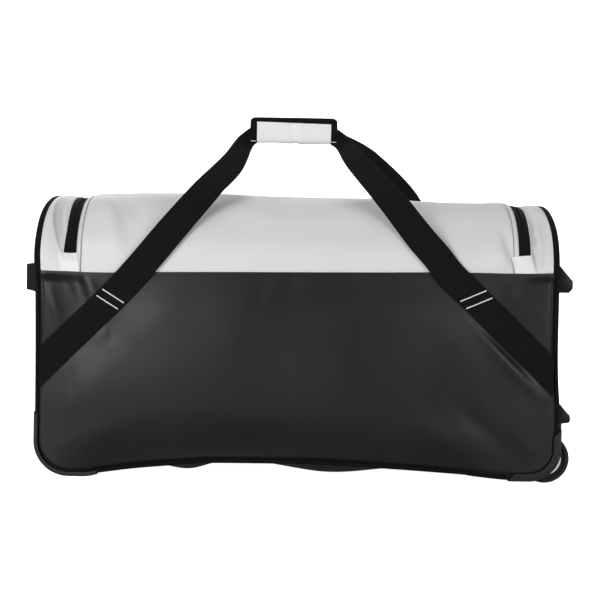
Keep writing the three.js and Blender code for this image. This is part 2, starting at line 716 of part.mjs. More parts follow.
/** The wrap of the grip: open at the top, close round the front, the underside and the back. */
function gripPatch() {
  const inside = CLEAR + 0.1;
  const whole = alongGrip(
    roundedBox(GRIP.depth + 2 * (inside + PATCH.thickness), GRIP.height + 2 * (inside + PATCH.thickness),
      GRIP.corner + inside + PATCH.thickness), PATCH.length);
  const hollow = alongGrip(
    roundedBox(GRIP.depth + 2 * inside, GRIP.height + 2 * inside, GRIP.corner + inside), GRIP.length);
  const above = new THREE.BoxGeometry(GRIP.length, 2 * GRIP.depth, GRIP.height);
  above.translate(GRIP.x, 0, PATCH.top + GRIP.height / 2);
  return cut(whole, [hollow, above, ...strapSpaces()]);
}

function sideHandle() {
  const half = SIDE_HANDLE_BOW.map(({ x, y }) => at(x, y, SIDE_HANDLE.z));
  const points = [...half.slice(1).reverse().map((p) => at(p.x, -p.y, p.z)), ...half];
  const curve = new THREE.CatmullRomCurve3(points, false, "centripetal");
  const thick = SIDE_HANDLE.thickness / 2;
  const frames = steps(0, 1, 30).map((t) => {
    const tangent = curve.getTangent(t);
    const towardsEnd = smoothstep(Math.abs(t - 0.5), 0.12, 0.34);
    const height = lerp(SIDE_HANDLE.middleHeight, SIDE_HANDLE.endHeight, towardsEnd);
    const out = tangent.cross(at(0, 0, 1)).normalize();
    return { origin: curve.getPoint(t), across: at(0, 0, height), out };
  });
  return sweep([[-0.5, -thick], [0.5, -thick], [0.5, thick], [-0.5, thick]], frames);
}

// Hard pieces

/** A section carried along the lower left corner, or a little past the guard's ends. */
function alongGuard(outline, past = 0) {
  return sweep(outline, cornerFrames(cornerLine(LEFT_END, GUARD_TOP + past, GUARD_TAIL + past, ARC_STEPS)));
}

/** A section carried along the lower right corner, or a little past the rim's ends. */
function alongRim(outline, past = 0) {
  return sweep(outline, cornerFrames(cornerLine(RIGHT_END, RIM_TOP + past, RIM_TAIL - past, ARC_STEPS)));
}

/** Outline of the wheel's well, from the end over the wheel and down to the base. */
function wellOutline(radius, reach, floor) {
  const shape = new THREE.Shape();
  shape.moveTo(reach, floor);
  shape.lineTo(reach, WHEEL.radius + radius);
  shape.lineTo(WHEEL.x, WHEEL.radius + radius);
  shape.absarc(WHEEL.x, WHEEL.radius, radius, Math.PI / 2, Math.PI);
  shape.lineTo(WHEEL.x - radius, floor);
  return shape;
}

function cheekOutline() {
  const radius = WELL.radius + WELL.wall;
  const middleX = endReach(RIGHT_END, RIGHT_END.base + RIGHT_END.corner) - RIGHT_END.corner;
  const middleZ = RIGHT_END.base + RIGHT_END.corner;
  const corner = RIGHT_END.corner - WELL.inset;
  const shape = new THREE.Shape();
  shape.moveTo(WHEEL.x - radius, middleZ - corner);
  shape.lineTo(middleX, middleZ - corner);
  shape.absarc(middleX, middleZ, corner, -Math.PI / 2, 0);
  shape.lineTo(middleX + corner, WHEEL.radius + radius);
  shape.lineTo(WHEEL.x, WHEEL.radius + radius);
  shape.absarc(WHEEL.x, WHEEL.radius, radius, Math.PI / 2, Math.PI);
  const hole = new THREE.Path();
  hole.absarc(WHEEL.x, WHEEL.radius, WHEEL.axle + CLEAR, 0, 2 * Math.PI, true);
  shape.holes.push(hole);
  return shape;
}

/** Section of the space that a guard or rim takes out of the sides' edges. */
const EDGE_SPACE = { out: 8, front: 8, back: 6, guard: 7, rim: 8.8 };
const edgeSection = (inwards) => [
  [-inwards, -EDGE_SPACE.front], [EDGE_SPACE.out, -EDGE_SPACE.front], [EDGE_SPACE.out, EDGE_SPACE.back],
  [-inwards, EDGE_SPACE.back],
];

/** Space that a housing takes out of the fabric round it. */
function housingSpace() {
  const reach = WELL.radius + WELL.wall + 2 * CLEAR;
  return plate(wellOutline(reach, FOOT_REACH, -5), -WELL.front - 8, -WELL.back + 2 * CLEAR);
}

function wheelHousing() {
  const endX = endReach(RIGHT_END, WHEEL.radius + WELL.radius) - WELL.inset;
  const rim = alongRim(RIM_SECTION);
  const runnerLine = steps(WHEEL.x - WELL.radius, RUNNER_TAIL, 4)
    .map((x) => ({ x, z: section(x, "base"), outX: 0, outZ: -1 }));
  const runner = sweep(RUNNER_SECTION, cornerFrames(runnerLine));
  const frontCheek = plate(cheekOutline(), -WELL.front, -WELL.front + WELL.cheek);
  const backCheek = plate(cheekOutline(), -WELL.back - WELL.cheek, -WELL.back);
  const shell = cut(
    plate(wellOutline(WELL.radius + WELL.wall, endX, WELL.floor), -WELL.front, -WELL.back),
    [plate(wellOutline(WELL.radius, FOOT_REACH, -5), -WELL.front - 1, -WELL.back + 1)]);
  return join([rim, runner, frontCheek, backCheek, shell]);
}

/** A turned piece from [radius, along] points, its axis along Y through the wheel's centre. */
function turned(profile, segments) {
  const points = [...profile, profile[0]].map(([radius, along]) => new THREE.Vector2(radius, along));
  const geometry = new THREE.LatheGeometry(points, segments);
  geometry.deleteAttribute("uv");
  geometry.deleteAttribute("normal");
  const merged = mergeVertices(geometry, 1e-4);
  const kept = [];
  const index = merged.index.array;
  for (let i = 0; i < index.length; i += 3) {
    const face = [index[i], index[i + 1], index[i + 2]];
    if (new Set(face).size === 3) kept.push(face);
  }
  const position = merged.attributes.position;
  const places = [...Array(position.count).keys()];
  return solid(places.map((i) => new THREE.Vector3().fromBufferAttribute(position, i)), kept);
}

function tyre() {
  const half = WHEEL.width / 2;
  const inner = WHEEL.hub + CLEAR;
  const rim = WHEEL.radius;
  const flanks = [
    [inner, half], [rim - TYRE.shoulder, half], [rim - TYRE.round, half - TYRE.flankRound],
    [rim, half - TYRE.flank],
  ];
  const otherFlank = flanks.map(([radius, along]) => [radius, -along]);
  return turned([...otherFlank, ...flanks.reverse()], WHEEL.segments);
}

function hub() {
  const half = WHEEL.width / 2 + HUB.proud;
  const floor = half - HUB.hollow;
  const face = [
    [WHEEL.axle + CLEAR, half], [HUB.collar, half], [HUB.dishStart, floor], [HUB.dishEnd, floor],
    [HUB.rim, half], [WHEEL.hub, half],
  ];
  const otherFace = face.map(([radius, along]) => [radius, -along]);
  return turned([...otherFace, ...face.reverse()], WHEEL.segments);
}

function axle() {
  const front = WHEEL.y - WELL.front + 0.6;
  const back = WHEEL.y - WELL.back + CLEAR;
  return turned([
    [0, front], [WHEEL.axle, front], [WHEEL.axle, back], [AXLE_HEAD.radius, back],
    [AXLE_HEAD.radius, back + AXLE_HEAD.thickness], [0, back + AXLE_HEAD.thickness],
  ], 16);
}

function standFoot(outline) {
  const shape = new THREE.Shape(outline.map(([x, z]) => new THREE.Vector2(x, z)));
  return plate(shape, -FOOT.y - FOOT.width / 2, -FOOT.y + FOOT.width / 2);
}

// Assembly

const bag = new THREE.Group();
bag.position.x = (HANDLE_REACH - FOOT_REACH) / 2;

function add(parent, name, geometry, look) {
  const mesh = new THREE.Mesh(geometry, new THREE.MeshStandardMaterial(look));
  mesh.name = name;
  parent.add(mesh);
}

function addPair(name, geometry, look) {
  add(bag, `${name}_front`, geometry, look);
  add(bag, `${name}_back`, mirrored(geometry), look);
}

const spaces = [housingSpace(), mirrored(housingSpace())];
const edgeSpaces = [
  alongGuard(edgeSection(EDGE_SPACE.guard), 2 * CLEAR),
  alongRim(edgeSection(EDGE_SPACE.rim), 2 * CLEAR),
];
const side = cut(sidePanel(), edgeSpaces);

add(bag, "front_panel", side, BLACK_FABRIC);
add(bag, "back_panel", mirrored(side), BLACK_FABRIC);
add(bag, "bottom_panel", cut(basePanel(), spaces), BLACK_FABRIC);
add(bag, "end_panel_left", endPanel(LEFT_END), BLACK_FABRIC);
add(bag, "end_panel_right", cut(endPanel(RIGHT_END), spaces), BLACK_FABRIC);
add(bag, "shoulder_left", shoulder(LEFT_END), GREY_FABRIC);
add(bag, "shoulder_right", shoulder(RIGHT_END), GREY_FABRIC);
add(bag, "back_yoke", backYoke(), GREY_FABRIC);
add(bag, "lid", lid(), GREY_FABRIC);
const halfZip = ZIP.width / 2;
const edgeStart = -halfZip - CLEAR;
add(bag, "lid_edge", zipBand(edgeStart - LID_EDGE.width, edgeStart, LID_EDGE.lift), GREY_FABRIC);
add(bag, "zip_tape", zipBand(-halfZip, halfZip, -ZIP.recess), ZIP_BLACK);
for (const tab of TABS) add(bag, tab.name, zipTab(tab), PALE_FABRIC);
add(bag, "zip_slider_left", zipSlider(-SLIDER.x), STEEL);
add(bag, "zip_slider_right", zipSlider(SLIDER.x), STEEL);
add(bag, "piping_left", endPiping(LEFT_END, GUARD_TOP + 2 * CLEAR), BLACK_WEBBING);
add(bag, "piping_right", endPiping(RIGHT_END, RIM_TOP + 2 * CLEAR), BLACK_WEBBING);
addPair("piping_bottom", basePiping(), BLACK_WEBBING);
add(bag, "carry_strap_front", strap(FRONT_STRAP), BLACK_WEBBING);
add(bag, "carry_strap_back", mirrored(strap(BACK_STRAP)), BLACK_WEBBING);
add(bag, "grip_sleeve", gripSleeve(), BLACK_WEBBING);
add(bag, "grip_patch", gripPatch(), GREY_FABRIC);
add(bag, "side_handle", sideHandle(), BLACK_WEBBING);
addPair("corner_guard", alongGuard(GUARD_SECTION), DARK_PLASTIC);
addPair("wheel_housing", wheelHousing(), DARK_PLASTIC);
for (const [name, outline] of Object.entries(FEET)) addPair(name, standFoot(outline), FOOT_PLASTIC);

for (const [place, facing] of [["front", -1], ["back", 1]]) {
  const wheel = new THREE.Group();
  wheel.position.set(WHEEL.x, facing * WHEEL.y, WHEEL.radius);
  const turn = (geometry) => (facing < 0 ? geometry : mirrored(geometry));
  add(wheel, `axle_${place}`, turn(axle()), STEEL);
  add(wheel, `hub_${place}`, turn(hub()), HUB_PLASTIC);
  add(wheel, `tyre_${place}`, turn(tyre()), TYRE_RUBBER);
  bag.add(wheel);
}

export default bag;
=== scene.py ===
import json
import math

import bmesh
import bpy
import numpy as np
from bpy.props import FloatProperty, FloatVectorProperty, PointerProperty
from bpy.types import Operator, Panel, PropertyGroup
from mathutils import Matrix, Vector


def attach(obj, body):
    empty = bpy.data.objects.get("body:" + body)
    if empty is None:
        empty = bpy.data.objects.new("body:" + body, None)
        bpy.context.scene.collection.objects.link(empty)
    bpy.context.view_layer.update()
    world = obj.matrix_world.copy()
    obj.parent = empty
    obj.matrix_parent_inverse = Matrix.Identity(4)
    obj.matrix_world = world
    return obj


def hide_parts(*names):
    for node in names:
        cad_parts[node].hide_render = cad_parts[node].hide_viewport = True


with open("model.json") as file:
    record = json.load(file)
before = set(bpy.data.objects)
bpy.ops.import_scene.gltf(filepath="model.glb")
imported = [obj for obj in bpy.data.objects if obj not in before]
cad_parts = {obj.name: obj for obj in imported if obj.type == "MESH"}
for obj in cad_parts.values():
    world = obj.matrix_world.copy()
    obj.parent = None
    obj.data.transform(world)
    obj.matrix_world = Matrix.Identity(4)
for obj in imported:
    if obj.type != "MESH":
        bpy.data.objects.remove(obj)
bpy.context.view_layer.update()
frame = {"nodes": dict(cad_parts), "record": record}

bl_info = {
    "name": "Wheeled duffel bag",
    "version": (1, 0, 0),
    "blender": (4, 5, 0),
    "location": "View3D > Sidebar > Duffel",
    "description": "Dresses the packed solids of a wheeled duffel bag",
    "category": "Object",
}

MM = 0.001
SHIFT = 9.0
SMOOTH_ANGLE = math.radians(40)

# Form of the body along its length, in millimetres from its own middle:
# place, crest of the roof, side seam, lower edge, half depth, belly of the lower sides
SECTIONS = (
    (-400, 431, 316, 3.5, 185, 0),
    (-340, 433, 314.5, 3.5, 186, 4),
    (-322, 434, 314, 3.5, 186.5, 5),
    (-300, 435, 314, 8, 187, 6),
    (-220, 436.5, 316, 18.5, 188, 8),
    (-110, 435, 318, 26.5, 189, 9),
    (0, 432.5, 319.5, 27, 189, 9),
    (130, 432, 321.5, 22.5, 189, 9),
    (250, 428.5, 323.5, 15.5, 188, 7),
    (340, 428.5, 323, 9.2, 186, 3),
    (400, 428, 325, 9.2, 185, 0),
)
LEFT_REACH = ((0, 398.5), (120, 398), (285, 399), (350, 402), (400, 401), (435, 396.5))
RIGHT_REACH = ((0, 406), (110, 405.5), (165, 402), (215, 400.5), (380, 400), (435, 397))
LEFT_RELIEF = ((0, 0), (20, 2.5), (42, -1.5), (58, -0.5), (72, 4.5), (105, 5), (160, 5))
RIGHT_RELIEF = ((0, 0), (20, 2.5), (34, -0.5), (46, 1.2), (58, 3.6), (72, 6), (105, 5), (160, 5))
RELIEF_FADE = 60
ARCH = 2 / 2.25
END_X = 396.0
SIDE_TUCK = 4.2
SEAM_TUCK = 0.7
SEAM_LAP = 0.8
EDGE_DIP = 1.8
CORNER_START = 0.36
CORNER_ROWS = 24
PANEL_ROWS = 92
PANEL_COLUMNS = 280
ROOF_ROWS = 150

# Folds as lines with a width and a lift: x, z to x, z on the lower sides and on the roof's front
BROAD_FOLDS = (
    (-352, 312, -335, 215, 16, -1.5),
    (-318, 312, -300, 230, 18, 1.2),
)
FINE_FOLDS = (
    (-396, 400, -392, 190, 60, 7.5),
    (-382, 304, -359, 220, 8, 1.8),
    (-357, 316, -335, 262, 7, 0.9),
    (-340, 325, -319, 256, 6, 1),
    (-332, 330, -311, 275, 5.5, -1.2),
    (-331, 330, -325, 296, 4.5, -3),
    (-323, 312, -307, 278, 5, 1),
    (-286, 240, -282, 200, 8, -0.6),
    (-356, 180, -344, 126, 7, 0.6),
    (-347, 176, -341, 120, 6, -0.9),
    (312, 316, 356, 254, 14, 1.2),
    (328, 274, 348, 297, 5, -0.6),
    (366, 330, 362, 284, 7, 0.6),
    (394, 400, 388, 170, 40, 6),
    (330, 330, 326, 306, 6, -0.7),
    (-72, 264, -40, 310, 10, -0.8),
    (-34, 276, 8, 318, 10, -0.7),
    (262, 250, 388, 116, 24, 3),
    (272, 240, 390, 120, 8, 2.2),
    (226, 140, 352, 34, 17, -2.6),
    (150, 114, 304, 26, 20, 2.4),
    (-250, 18, -236, 80, 17, 0.9),
    (-62, 26, -74, 92, 20, -0.9),
    (122, 22, 134, 96, 19, 0.9),
)
UNDER_ARC = (
    (-395, 0), (-359, 26), (-328, 45), (-298, 64), (-267, 82), (-229, 96), (-176, 103), (-69, 105),
    (54, 95), (150, 84), (223, 60), (270, 35), (310, 8), (400, 0),
)
TURN_UNDER = 5
ROOF_FOLDS = (
    (-302, 436, -244, 322, 15, -8),
    (-322, 428, -268, 322, 16, 5),
    (-264, 430, -220, 350, 18, 1.4),
    (-328, 362, -326, 306, 7, -3),
    (-388, 430, -388, 322, 11, 3.6),
    (-364, 436, -362, 392, 6, 2.4),
    (314, 394, 335, 304, 8, -6.5),
    (301, 374, 318, 300, 12, 2.6),
    (359, 374, 368, 306, 5, -4.5),
    (358, 378, 375, 410, 6, -3.5),
    (385, 412, 390, 322, 9, 1.6),
    (-60, 430, 30, 388, 40, -1.6),
    (150, 406, 240, 350, 34, -1.8),
)
STEP_DOWNS = (
    ((16, -360, 0), (30, -364, 6), (48, -371.5, 8), (67, -376.5, 9), (89, -381.5, 10), (112, -383.5, 9.5),
     (141, -384, 7), (175, -384, 3), (210, -384, 0)),
    ((12, 361, 0), (30, 359, 6), (50, 358, 10), (75, 357.5, 12.5), (100, 357.5, 11), (125, 358, 7),
     (160, 358, 0)),
)
STEP_RUNS = (5, 18, 10)
BASE_SAGS = ((-163, 40, 14), (52, 88, 18.5))
SAG_EDGE = 32

# The zip's U, the lid's welt, and the patches over the zip's front ends
ZIP_X = 348.5
ZIP_TURN = 60
ZIP_HALF = 9.25
ZIP_ABOVE_BACK_SEAM = 45
WELT = (
    (-9.3, -0.7), (-9.9, 0.5), (-11.2, 1.1), (-13, 1.2),
    (-14.8, 1.1), (-15.7, 0.6), (-16.2, -0.8), (-16.4, -2.4),
)
GROOVE = 1.7
ROOF_STITCHES = ((-11.8, 1.15), (ZIP_HALF + 3.2, 0.05))
# The lid's seam line and cord radius: a dark cord at half the roof cloth's colour in the groove at the
# lid's edge, standing for the seam's thread and for painted shadow along the groove
LID_SEAM_SHADOW = (-17, -1.5)
LID_SEAM_RADIUS = 0.55
BINDING_THICKNESS = 1.0
BINDING = ((2.2, -0.8), (2.5, 0.4), (3.2, 0.75), (7.2, 0.75), (7.9, 0.4), (8.2, -0.6))
TAPE = (
    (-11, -2.4), (-9.5, -1.4), (-6, -1), (-3.4, -0.9), (-2.6, -1.3),
    (2.6, -1.3), (3.4, -0.9), (6, -1), (10, -1.4), (12.4, -2.4),
)
TAPE_THICKNESS = 1.2
COIL_HALF = 2.5
COIL_LIFT = -1.35
COIL_RADIUS = 0.7
TAB_GIRTH = (1, 29)
TAB_THICKNESS = 1.5
TAB_LIFT = 2.8
TABS = (("zip_tab_left", -353, -347.7, 30, 0), ("zip_tab_right", 343, 350, 31, 3))
SLIDER_X = 24
SLIDER_LIFT = 2.9

# Middle lines of the straps: x, half depth or None on the side itself, z, width
FRONT_STRAP = (
    (-393.2, None, 168, 45), (-345, None, 215.5, 45), (-285, None, 274.5, 45),
    (-249, None, 314, 45), (-222, 194.5, 346, 45), (-197, 190, 377, 45), (-148, 154, 438, 43),
    (-108, 68, 490.5, 36), (-84, 10, 532, 26), (-62, 5.4, 545, 26), (-40, 5, 547, 26),
    (20, 5, 547, 26), (42, 5.4, 545, 26), (65, 10, 532, 26), (90, 68, 498, 36),
    (143, 154, 433.5, 43), (188, 190, 375, 45), (211, 194.5, 349, 45), (234, None, 321, 45),
    (274, None, 283, 45), (340, None, 219.5, 45), (396, None, 167, 45),
)
BACK_STRAP = (
    *FRONT_STRAP[:5], (-211, 189, 376, 45), (-176, 156, 434, 45), (-113, 72, 490, 36),
    *FRONT_STRAP[8:14], (116, 72, 502, 40), (195, 156, 426, 45), (210, 189, 374, 45),
    *FRONT_STRAP[17:],
)
STRAP_HALF_WIDTH = 22.5
STRAP_HALF_THICKNESS = 1.1
STRAP_AIR = 0.25
STRAP_CLEAR = 1.8
STRAP_PRESS = 2.6
BAR_TACKS = (
    ((-296.5, 289.6), (-264.2, 269.3)), ((-305.4, 279.9), (-273.7, 260.2)),
    ((249.6, 280.3), (287.4, 296.7)), ((258.9, 269.4), (298.7, 286.5)),
)
TACK_STITCH = 5.2
TACK_GAP = -0.9
GRIP_X = (-81.5, 61.5)
GRIP_Z = 548.2
GRIP_HALF = (11, 19.6)
GRIP_POINTS = 64
GRIP_POWER = 2 / 4.2
PATCH_X = (-70, 51)
PATCH_TOP = 558.5
PATCH_SLANT = 0.022
PATCH_GROW = 1.4
PATCH_THICKNESS = 1.2
HANDLE_BOW = ((0, -443.5), (28, -441), (58, -425), (84, -411), (104, -405.6), (132, -404.2))
HANDLE_Z = 300
HANDLE_WIDTHS = (42.0, 50.0)
HANDLE_THICKNESS = 3.0
HANDLE_SEWING = (
    (102, 318), (128, 318), (128, 282), (102, 282), (102, 318), (128, 282), (128, 318), (102, 282),
)
PIPING_SET = 1.5
PIPING_OVERLAP = 25

# Moulded corners: how far each reaches over the side and back round the end, its section across the
# outline and back from the front, and the planes that cut its ends, by a place and a direction
GUARD_TOP = 99
GUARD_TAIL = -303
GUARD_LIP = -2.9
GUARD_WING = 18
GUARD_BLOCK = (0.4, 3.5, -3.2, -0.2)
GUARD_CUTS = (((-398, 0, 97), (0.55, 0, 0.83)), ((-304, 0, 8), (0.96, 0, 0.28)))
RIM_TOP = 87
RIM_TAIL = 324
RIM_SPAN = (RIM_TOP + 9, RIM_TAIL - 3)
RIM_LIP = -6.6
RIM_WING = 5
RIM_BLOCK = (-4, 5.2, -4, -0.4)
RIM_CUTS = (((404, 0, 89.5), (-0.5, 0, 0.866)), ((335, 0, 10), (-0.7, 0, 0.71)))
RUNNER_TAIL = 256
RUNNER_THICKNESS = 4.4
RUNNER_WIDTH = 32.4
RUNNER_INSET = 21.8
RUNNER_DROP = 3
RUNNER_RISE = 0.2
RUNNER_TAPER = 0.93

# The wheels and their wells
WHEEL = Vector((387.5, -164, 38))
WHEEL_RADIUS = 38
WHEEL_WIDTH = 24
HUB_RADIUS = 25.2
TREAD_RADIUS = 32
SIDEWALL_RECESS = 4.5
HUB_WIDTH = 27
HUB_RINGS = ((4, -7), (10, 7), (5, -1.5))
RIB_REACH = (13, 21)
RIB_EVERY = 60
RIB_TURN = 8
RIB_RISE = 4
WELL_RADIUS = 42.5
WELL_WALL = 3
WELL_Y = (-182.2, -146)
WELL_X = 403
WELL_FOOT = 7
CHEEK = 2.6
CHEEK_CORNER = 43.2
CHEEK_LIFT = 1.8
FACING_X = (0, math.pi / 2, 0)
FACING_Y = (math.pi / 2, 0, 0)

# Stand feet: low and high corners in x and z, edge radius, and cuts by a place and a run and rise
FOOT_Y = -150
FOOT_WIDTH = 44
FEET = {
    "stand_foot_upper": ((401, 295), (425, 339), 5, (
        ((415, 324.5), (22, 26)), ((421.5, 297.5), (6, -7)))),
    "stand_foot_lower": ((406, 91), (427.4, 120.5), 3, (
        ((421.5, 109.5), (12, 14)), ((426.4, 94), (0.4, -10)), ((411, 91.3), (17, -3)))),
}
FLANGE = ((404.6, 74), (413.4, 95))

# The studio, in metres: the camera, and each light's place, aim, size and energy
CAMERA_PLACE = (0.014, -2.48, 0.398)
CAMERA_TILT = 87
CAMERA_ROLL = 1
CAMERA_LENS = 90
CAMERA_SENSOR = 36
LIGHTS = {
    "key light": ((-1.7, -2.8, 0.95), (0, 0, 0.25), (1.5, 1.5), 59),
    "fill light": ((1.8, -2.8, 0.85), (0, 0, 0.25), (1.5, 1.5), 36),
    "strip light": ((-0.55, -1.5, 0.16), (-0.25, -0.19, 0.2), (0.3, 0.55), 1.7),
    "top light": ((0.2, 0.4, 3.0), (0, 0, 0.4), (2.6, 2.6), 10),
    "backdrop light": ((0, 1.2, 3.2), (0, 3.4, 0.9), (2.6, 2.6), 60),
    "left end light": ((-2.6, 0.5, 0.6), (-0.4, 0, 0.2), (1.5, 1.5), 18),
    "right end light": ((2.6, 0.5, 0.6), (0.4, 0, 0.2), (1.5, 1.5), 18),
    "back light": ((-0.6, 2.4, 1.0), (0, 0, 0.25), (2, 1.2), 21),
}
FLOOR_X = 7
FLOOR_FRONT = -6.0
FLOOR_TURN = 2
FLOOR_RADIUS = 1.5
BACKDROP_TOP = 6.0
SKY_LIGHT = 0.1


def colour(name, description, start):
    """A colour that starts as the record's for a material slot, or as the one given."""
    if isinstance(start, str):
        start = next(row["base_color"] for row in frame["record"]["materials"] if row["slot"] == start)
    return FloatVectorProperty(name=name, description=description, subtype="COLOR", size=3,
                               min=0, max=1, default=start)


def length(name, description, default):
    return FloatProperty(name=name, description=description, default=default, min=1e-5, unit="LENGTH")


class DuffelColours(PropertyGroup):
    """Colours of the bag's cloths, webbing and mouldings."""
    lower_cloth: colour("Lower cloth", "Coated cloth of the sides, base and ends", "black_fabric")
    roof_cloth: colour("Roof cloth", "Coated cloth of the lid and shoulders", "grey_fabric")
    tab_cloth: colour("Tab cloth", "Patches over the zip's ends", "pale_fabric")
    webbing: colour("Webbing", "Straps, handle and piping", "webbing")
    zip: colour("Zip", "Zip tape and coil", "zip")
    guard: colour("Guards", "Corner guards and wheel housings", "guard_plastic")
    foot: colour("Feet", "Stand feet", "foot_plastic")
    hub: colour("Hubs", "Wheel hubs", "hub_plastic")
    tyre: colour("Tyres", "Wheel tyres", "tyre")
    steel: colour("Steel", "Axles and zip sliders", "steel")
    bar_tack: colour("Bar tacks", "Light thread that holds the straps", (0.9, 0.9, 0.88))


class DuffelSizes(PropertyGroup):
    """Sizes of the bag's cloth, webbing and sewing."""
    cloth: length("Cloth", "Thickness of the coated cloth", 0.002)
    webbing: length("Webbing", "Thickness of the straps", 0.0022)
    piping: length("Piping", "Radius of the piping", 0.0035)
    stitch: length("Stitch", "Length of one stitch", 0.0032)
    stitch_gap: length("Stitch gap", "Space between two stitches", 0.0012)
    coil_pitch: length("Coil pitch", "Space between the zip's coils", 0.0024)
    scrim_pitch: length("Scrim pitch", "Spacing of the scrim threads in the coated cloth", 0.0016)
    rib_pitch: length("Rib pitch", "Spacing of the ribs in the webbing", 0.0021)


def colours():
    return bpy.context.scene.duffel_colours


def sizes():
    return bpy.context.scene.duffel_sizes


# Surfaces of the bag, in millimetres

def curve(rows, column=1):
    """A smooth curve through a table's column that never passes beyond its rows."""
    places = np.array([row[0] for row in rows], float)
    values = np.array([row[column] for row in rows], float)
    rise = np.diff(values) / np.diff(places)
    slope = np.concatenate((rise[:1], np.zeros(len(rise) - 1), rise[-1:]))
    before, after = rise[:-1], rise[1:]
    same_way = before * after > 0
    slope[1:-1][same_way] = (2 * before * after)[same_way] / (before + after)[same_way]

    def read(place):
        place = np.clip(place, places[0], places[-1])
        row = np.clip(np.searchsorted(places, place) - 1, 0, len(rise) - 1)
        span = places[row + 1] - places[row]
        t = (place - places[row]) / span
        ease = t * t * (3 - 2 * t)
        leave = t * (1 - t) ** 2 * slope[row] * span
        arrive = t * t * (t - 1) * slope[row + 1] * span
        return values[row] + (values[row + 1] - values[row]) * ease + leave + arrive
    return read


crest, seam, base, depth, belly = (curve(SECTIONS, column) for column in range(1, 6))
left_reach, right_reach = curve(LEFT_REACH), curve(RIGHT_REACH)
left_relief, right_relief = curve(LEFT_RELIEF), curve(RIGHT_RELIEF)


class End:
    """One end of the body: its side, lower corner radius, lowest edge and reach by height."""

    def __init__(self, side, corner, low, reach):
        self.side, self.corner, self.low, self.reach = side, corner, low, reach
        self.middle_z = low + corner
        self.middle_x = float(reach(self.middle_z)) - corner


LEFT = End(-1, 51, 3.5, left_reach)
RIGHT = End(1, 45, 9.2, right_reach)
ENDS = ((LEFT, "left"), (RIGHT, "right"))
SIDES = ((-1, "front"), (1, "back"))


def smooth(value, low, high):
    t = np.clip((value - low) / (high - low), 0, 1)
    return t * t * (3 - 2 * t)


def mix(a, b, t):
    return a + (b - a) * t


def rows_of(*columns):
    """Rows of numbers from columns; a single number stands in each row."""
    return np.stack(np.broadcast_arrays(*columns), -1)


def unit(vectors):
    return vectors / np.linalg.norm(vectors, axis=-1, keepdims=True)


def runs(points):
    """Distance along a line of points, from its start."""
    return np.concatenate([[0], np.cumsum(np.linalg.norm(np.diff(points, axis=0), axis=1))])


def arch(x, angle):
    """A point of the roof's arch at a place along the bag."""
    cosine = np.cos(angle)
    y = -np.sign(cosine) * depth(x) * np.abs(cosine) ** ARCH
    z = seam(x) + (crest(x) - seam(x)) * np.maximum(np.sin(angle), 0) ** ARCH
    return rows_of(x, y, z)


def arch_normal(x, angle, nudge=0.01):
    ahead = arch(x, np.minimum(angle + nudge, math.pi)) - arch(x, np.maximum(angle - nudge, 0))
    return unit(rows_of(0.0, -ahead[..., 2], ahead[..., 1]))


ANGLES = np.linspace(0, math.pi, 121)
GIRTHS = runs(arch(0.0, ANGLES))
GIRTH = float(GIRTHS[-1])
angle_at = curve(list(zip(GIRTHS, ANGLES)))
ZIP_TURN_START = GIRTH - ZIP_ABOVE_BACK_SEAM - ZIP_TURN


def front_girth(x, z):
    """How far up the roof's front a height is, from the seam."""
    share = np.clip((z - seam(x)) / (crest(x) - seam(x)), 0, 1)
    return float(np.interp(np.arcsin(share ** (1 / ARCH)), ANGLES, GIRTHS))


def fold_lift(rows, x, z, fading=False):
    """How far folds lift a surface at a place; fading ones run out at both ends."""
    total = np.zeros(np.broadcast(x, z).shape)
    for x0, z0, x1, z1, width, lift in rows:
        run = (x1 - x0) ** 2 + (z1 - z0) ** 2
        share = np.clip(((x - x0) * (x1 - x0) + (z - z0) * (z1 - z0)) / run, 0, 1)
        gap = np.hypot(x - mix(x0, x1, share), z - mix(z0, z1, share))
        fade = np.sin(math.pi * share) ** 1.3 if fading else 1
        total += lift * fade * np.exp(-((gap / width) ** 2))
    return total


def waves(x, z, turn):
    """The slight unevenness of a filled bag's cloth."""
    long_waves = np.sin(x / 61 + z / 90 + turn) * np.sin(z / 47 - x / 130 + 2 * turn)
    short_waves = np.sin(x / 29 - z / 37 + 3 * turn) * np.sin(z / 31 + x / 53)
    return 0.9 * long_waves + 0.4 * short_waves


def steps_down(x, girth):
    """How far the roof's cloth drops where it steps down beside the zip."""
    total = np.zeros(np.broadcast(x, girth).shape)
    edge, slope, back = STEP_RUNS
    for rows in STEP_DOWNS:
        past = x - curve(rows)(girth)
        drop = 0.4 * smooth(past, 0, edge) + 0.6 * smooth(past, 0, slope)
        total += curve(rows, 2)(girth) * drop * np.exp(-np.maximum(past - slope, 0) / back)
    return total


GIRTH_FOLDS = [(x0, front_girth(x0, z0), x1, front_girth(x1, z1), width, lift)
               for x0, z0, x1, z1, width, lift in ROOF_FOLDS]


def roof(x, girth, lift=0.0):
    """A point of the roof: x along the bag, girth up from the front seam and over to the back one."""
    x, girth = np.broadcast_arrays(np.asarray(x, float), np.asarray(girth, float))
    angle = angle_at(girth)
    point = arch(x, angle)
    reach = np.where(x < 0, left_reach(point[..., 2]), right_reach(point[..., 2]))
    from_end = reach - np.abs(x)
    from_seam = np.minimum(girth, GIRTH - girth)
    relief = np.where(x < 0, left_relief(from_end), right_relief(from_end))
    rise = relief * smooth(from_seam, 0, RELIEF_FADE)
    loose = smooth(from_end, 3, 18) * smooth(from_seam, -2, 10)
    folds = fold_lift(GIRTH_FOLDS, x, from_seam, True) - steps_down(x, from_seam)
    rise = rise + (folds + 0.9 * waves(x, girth, 0.6)) * loose + lift
    return point + arch_normal(x, angle) * rise[..., None]


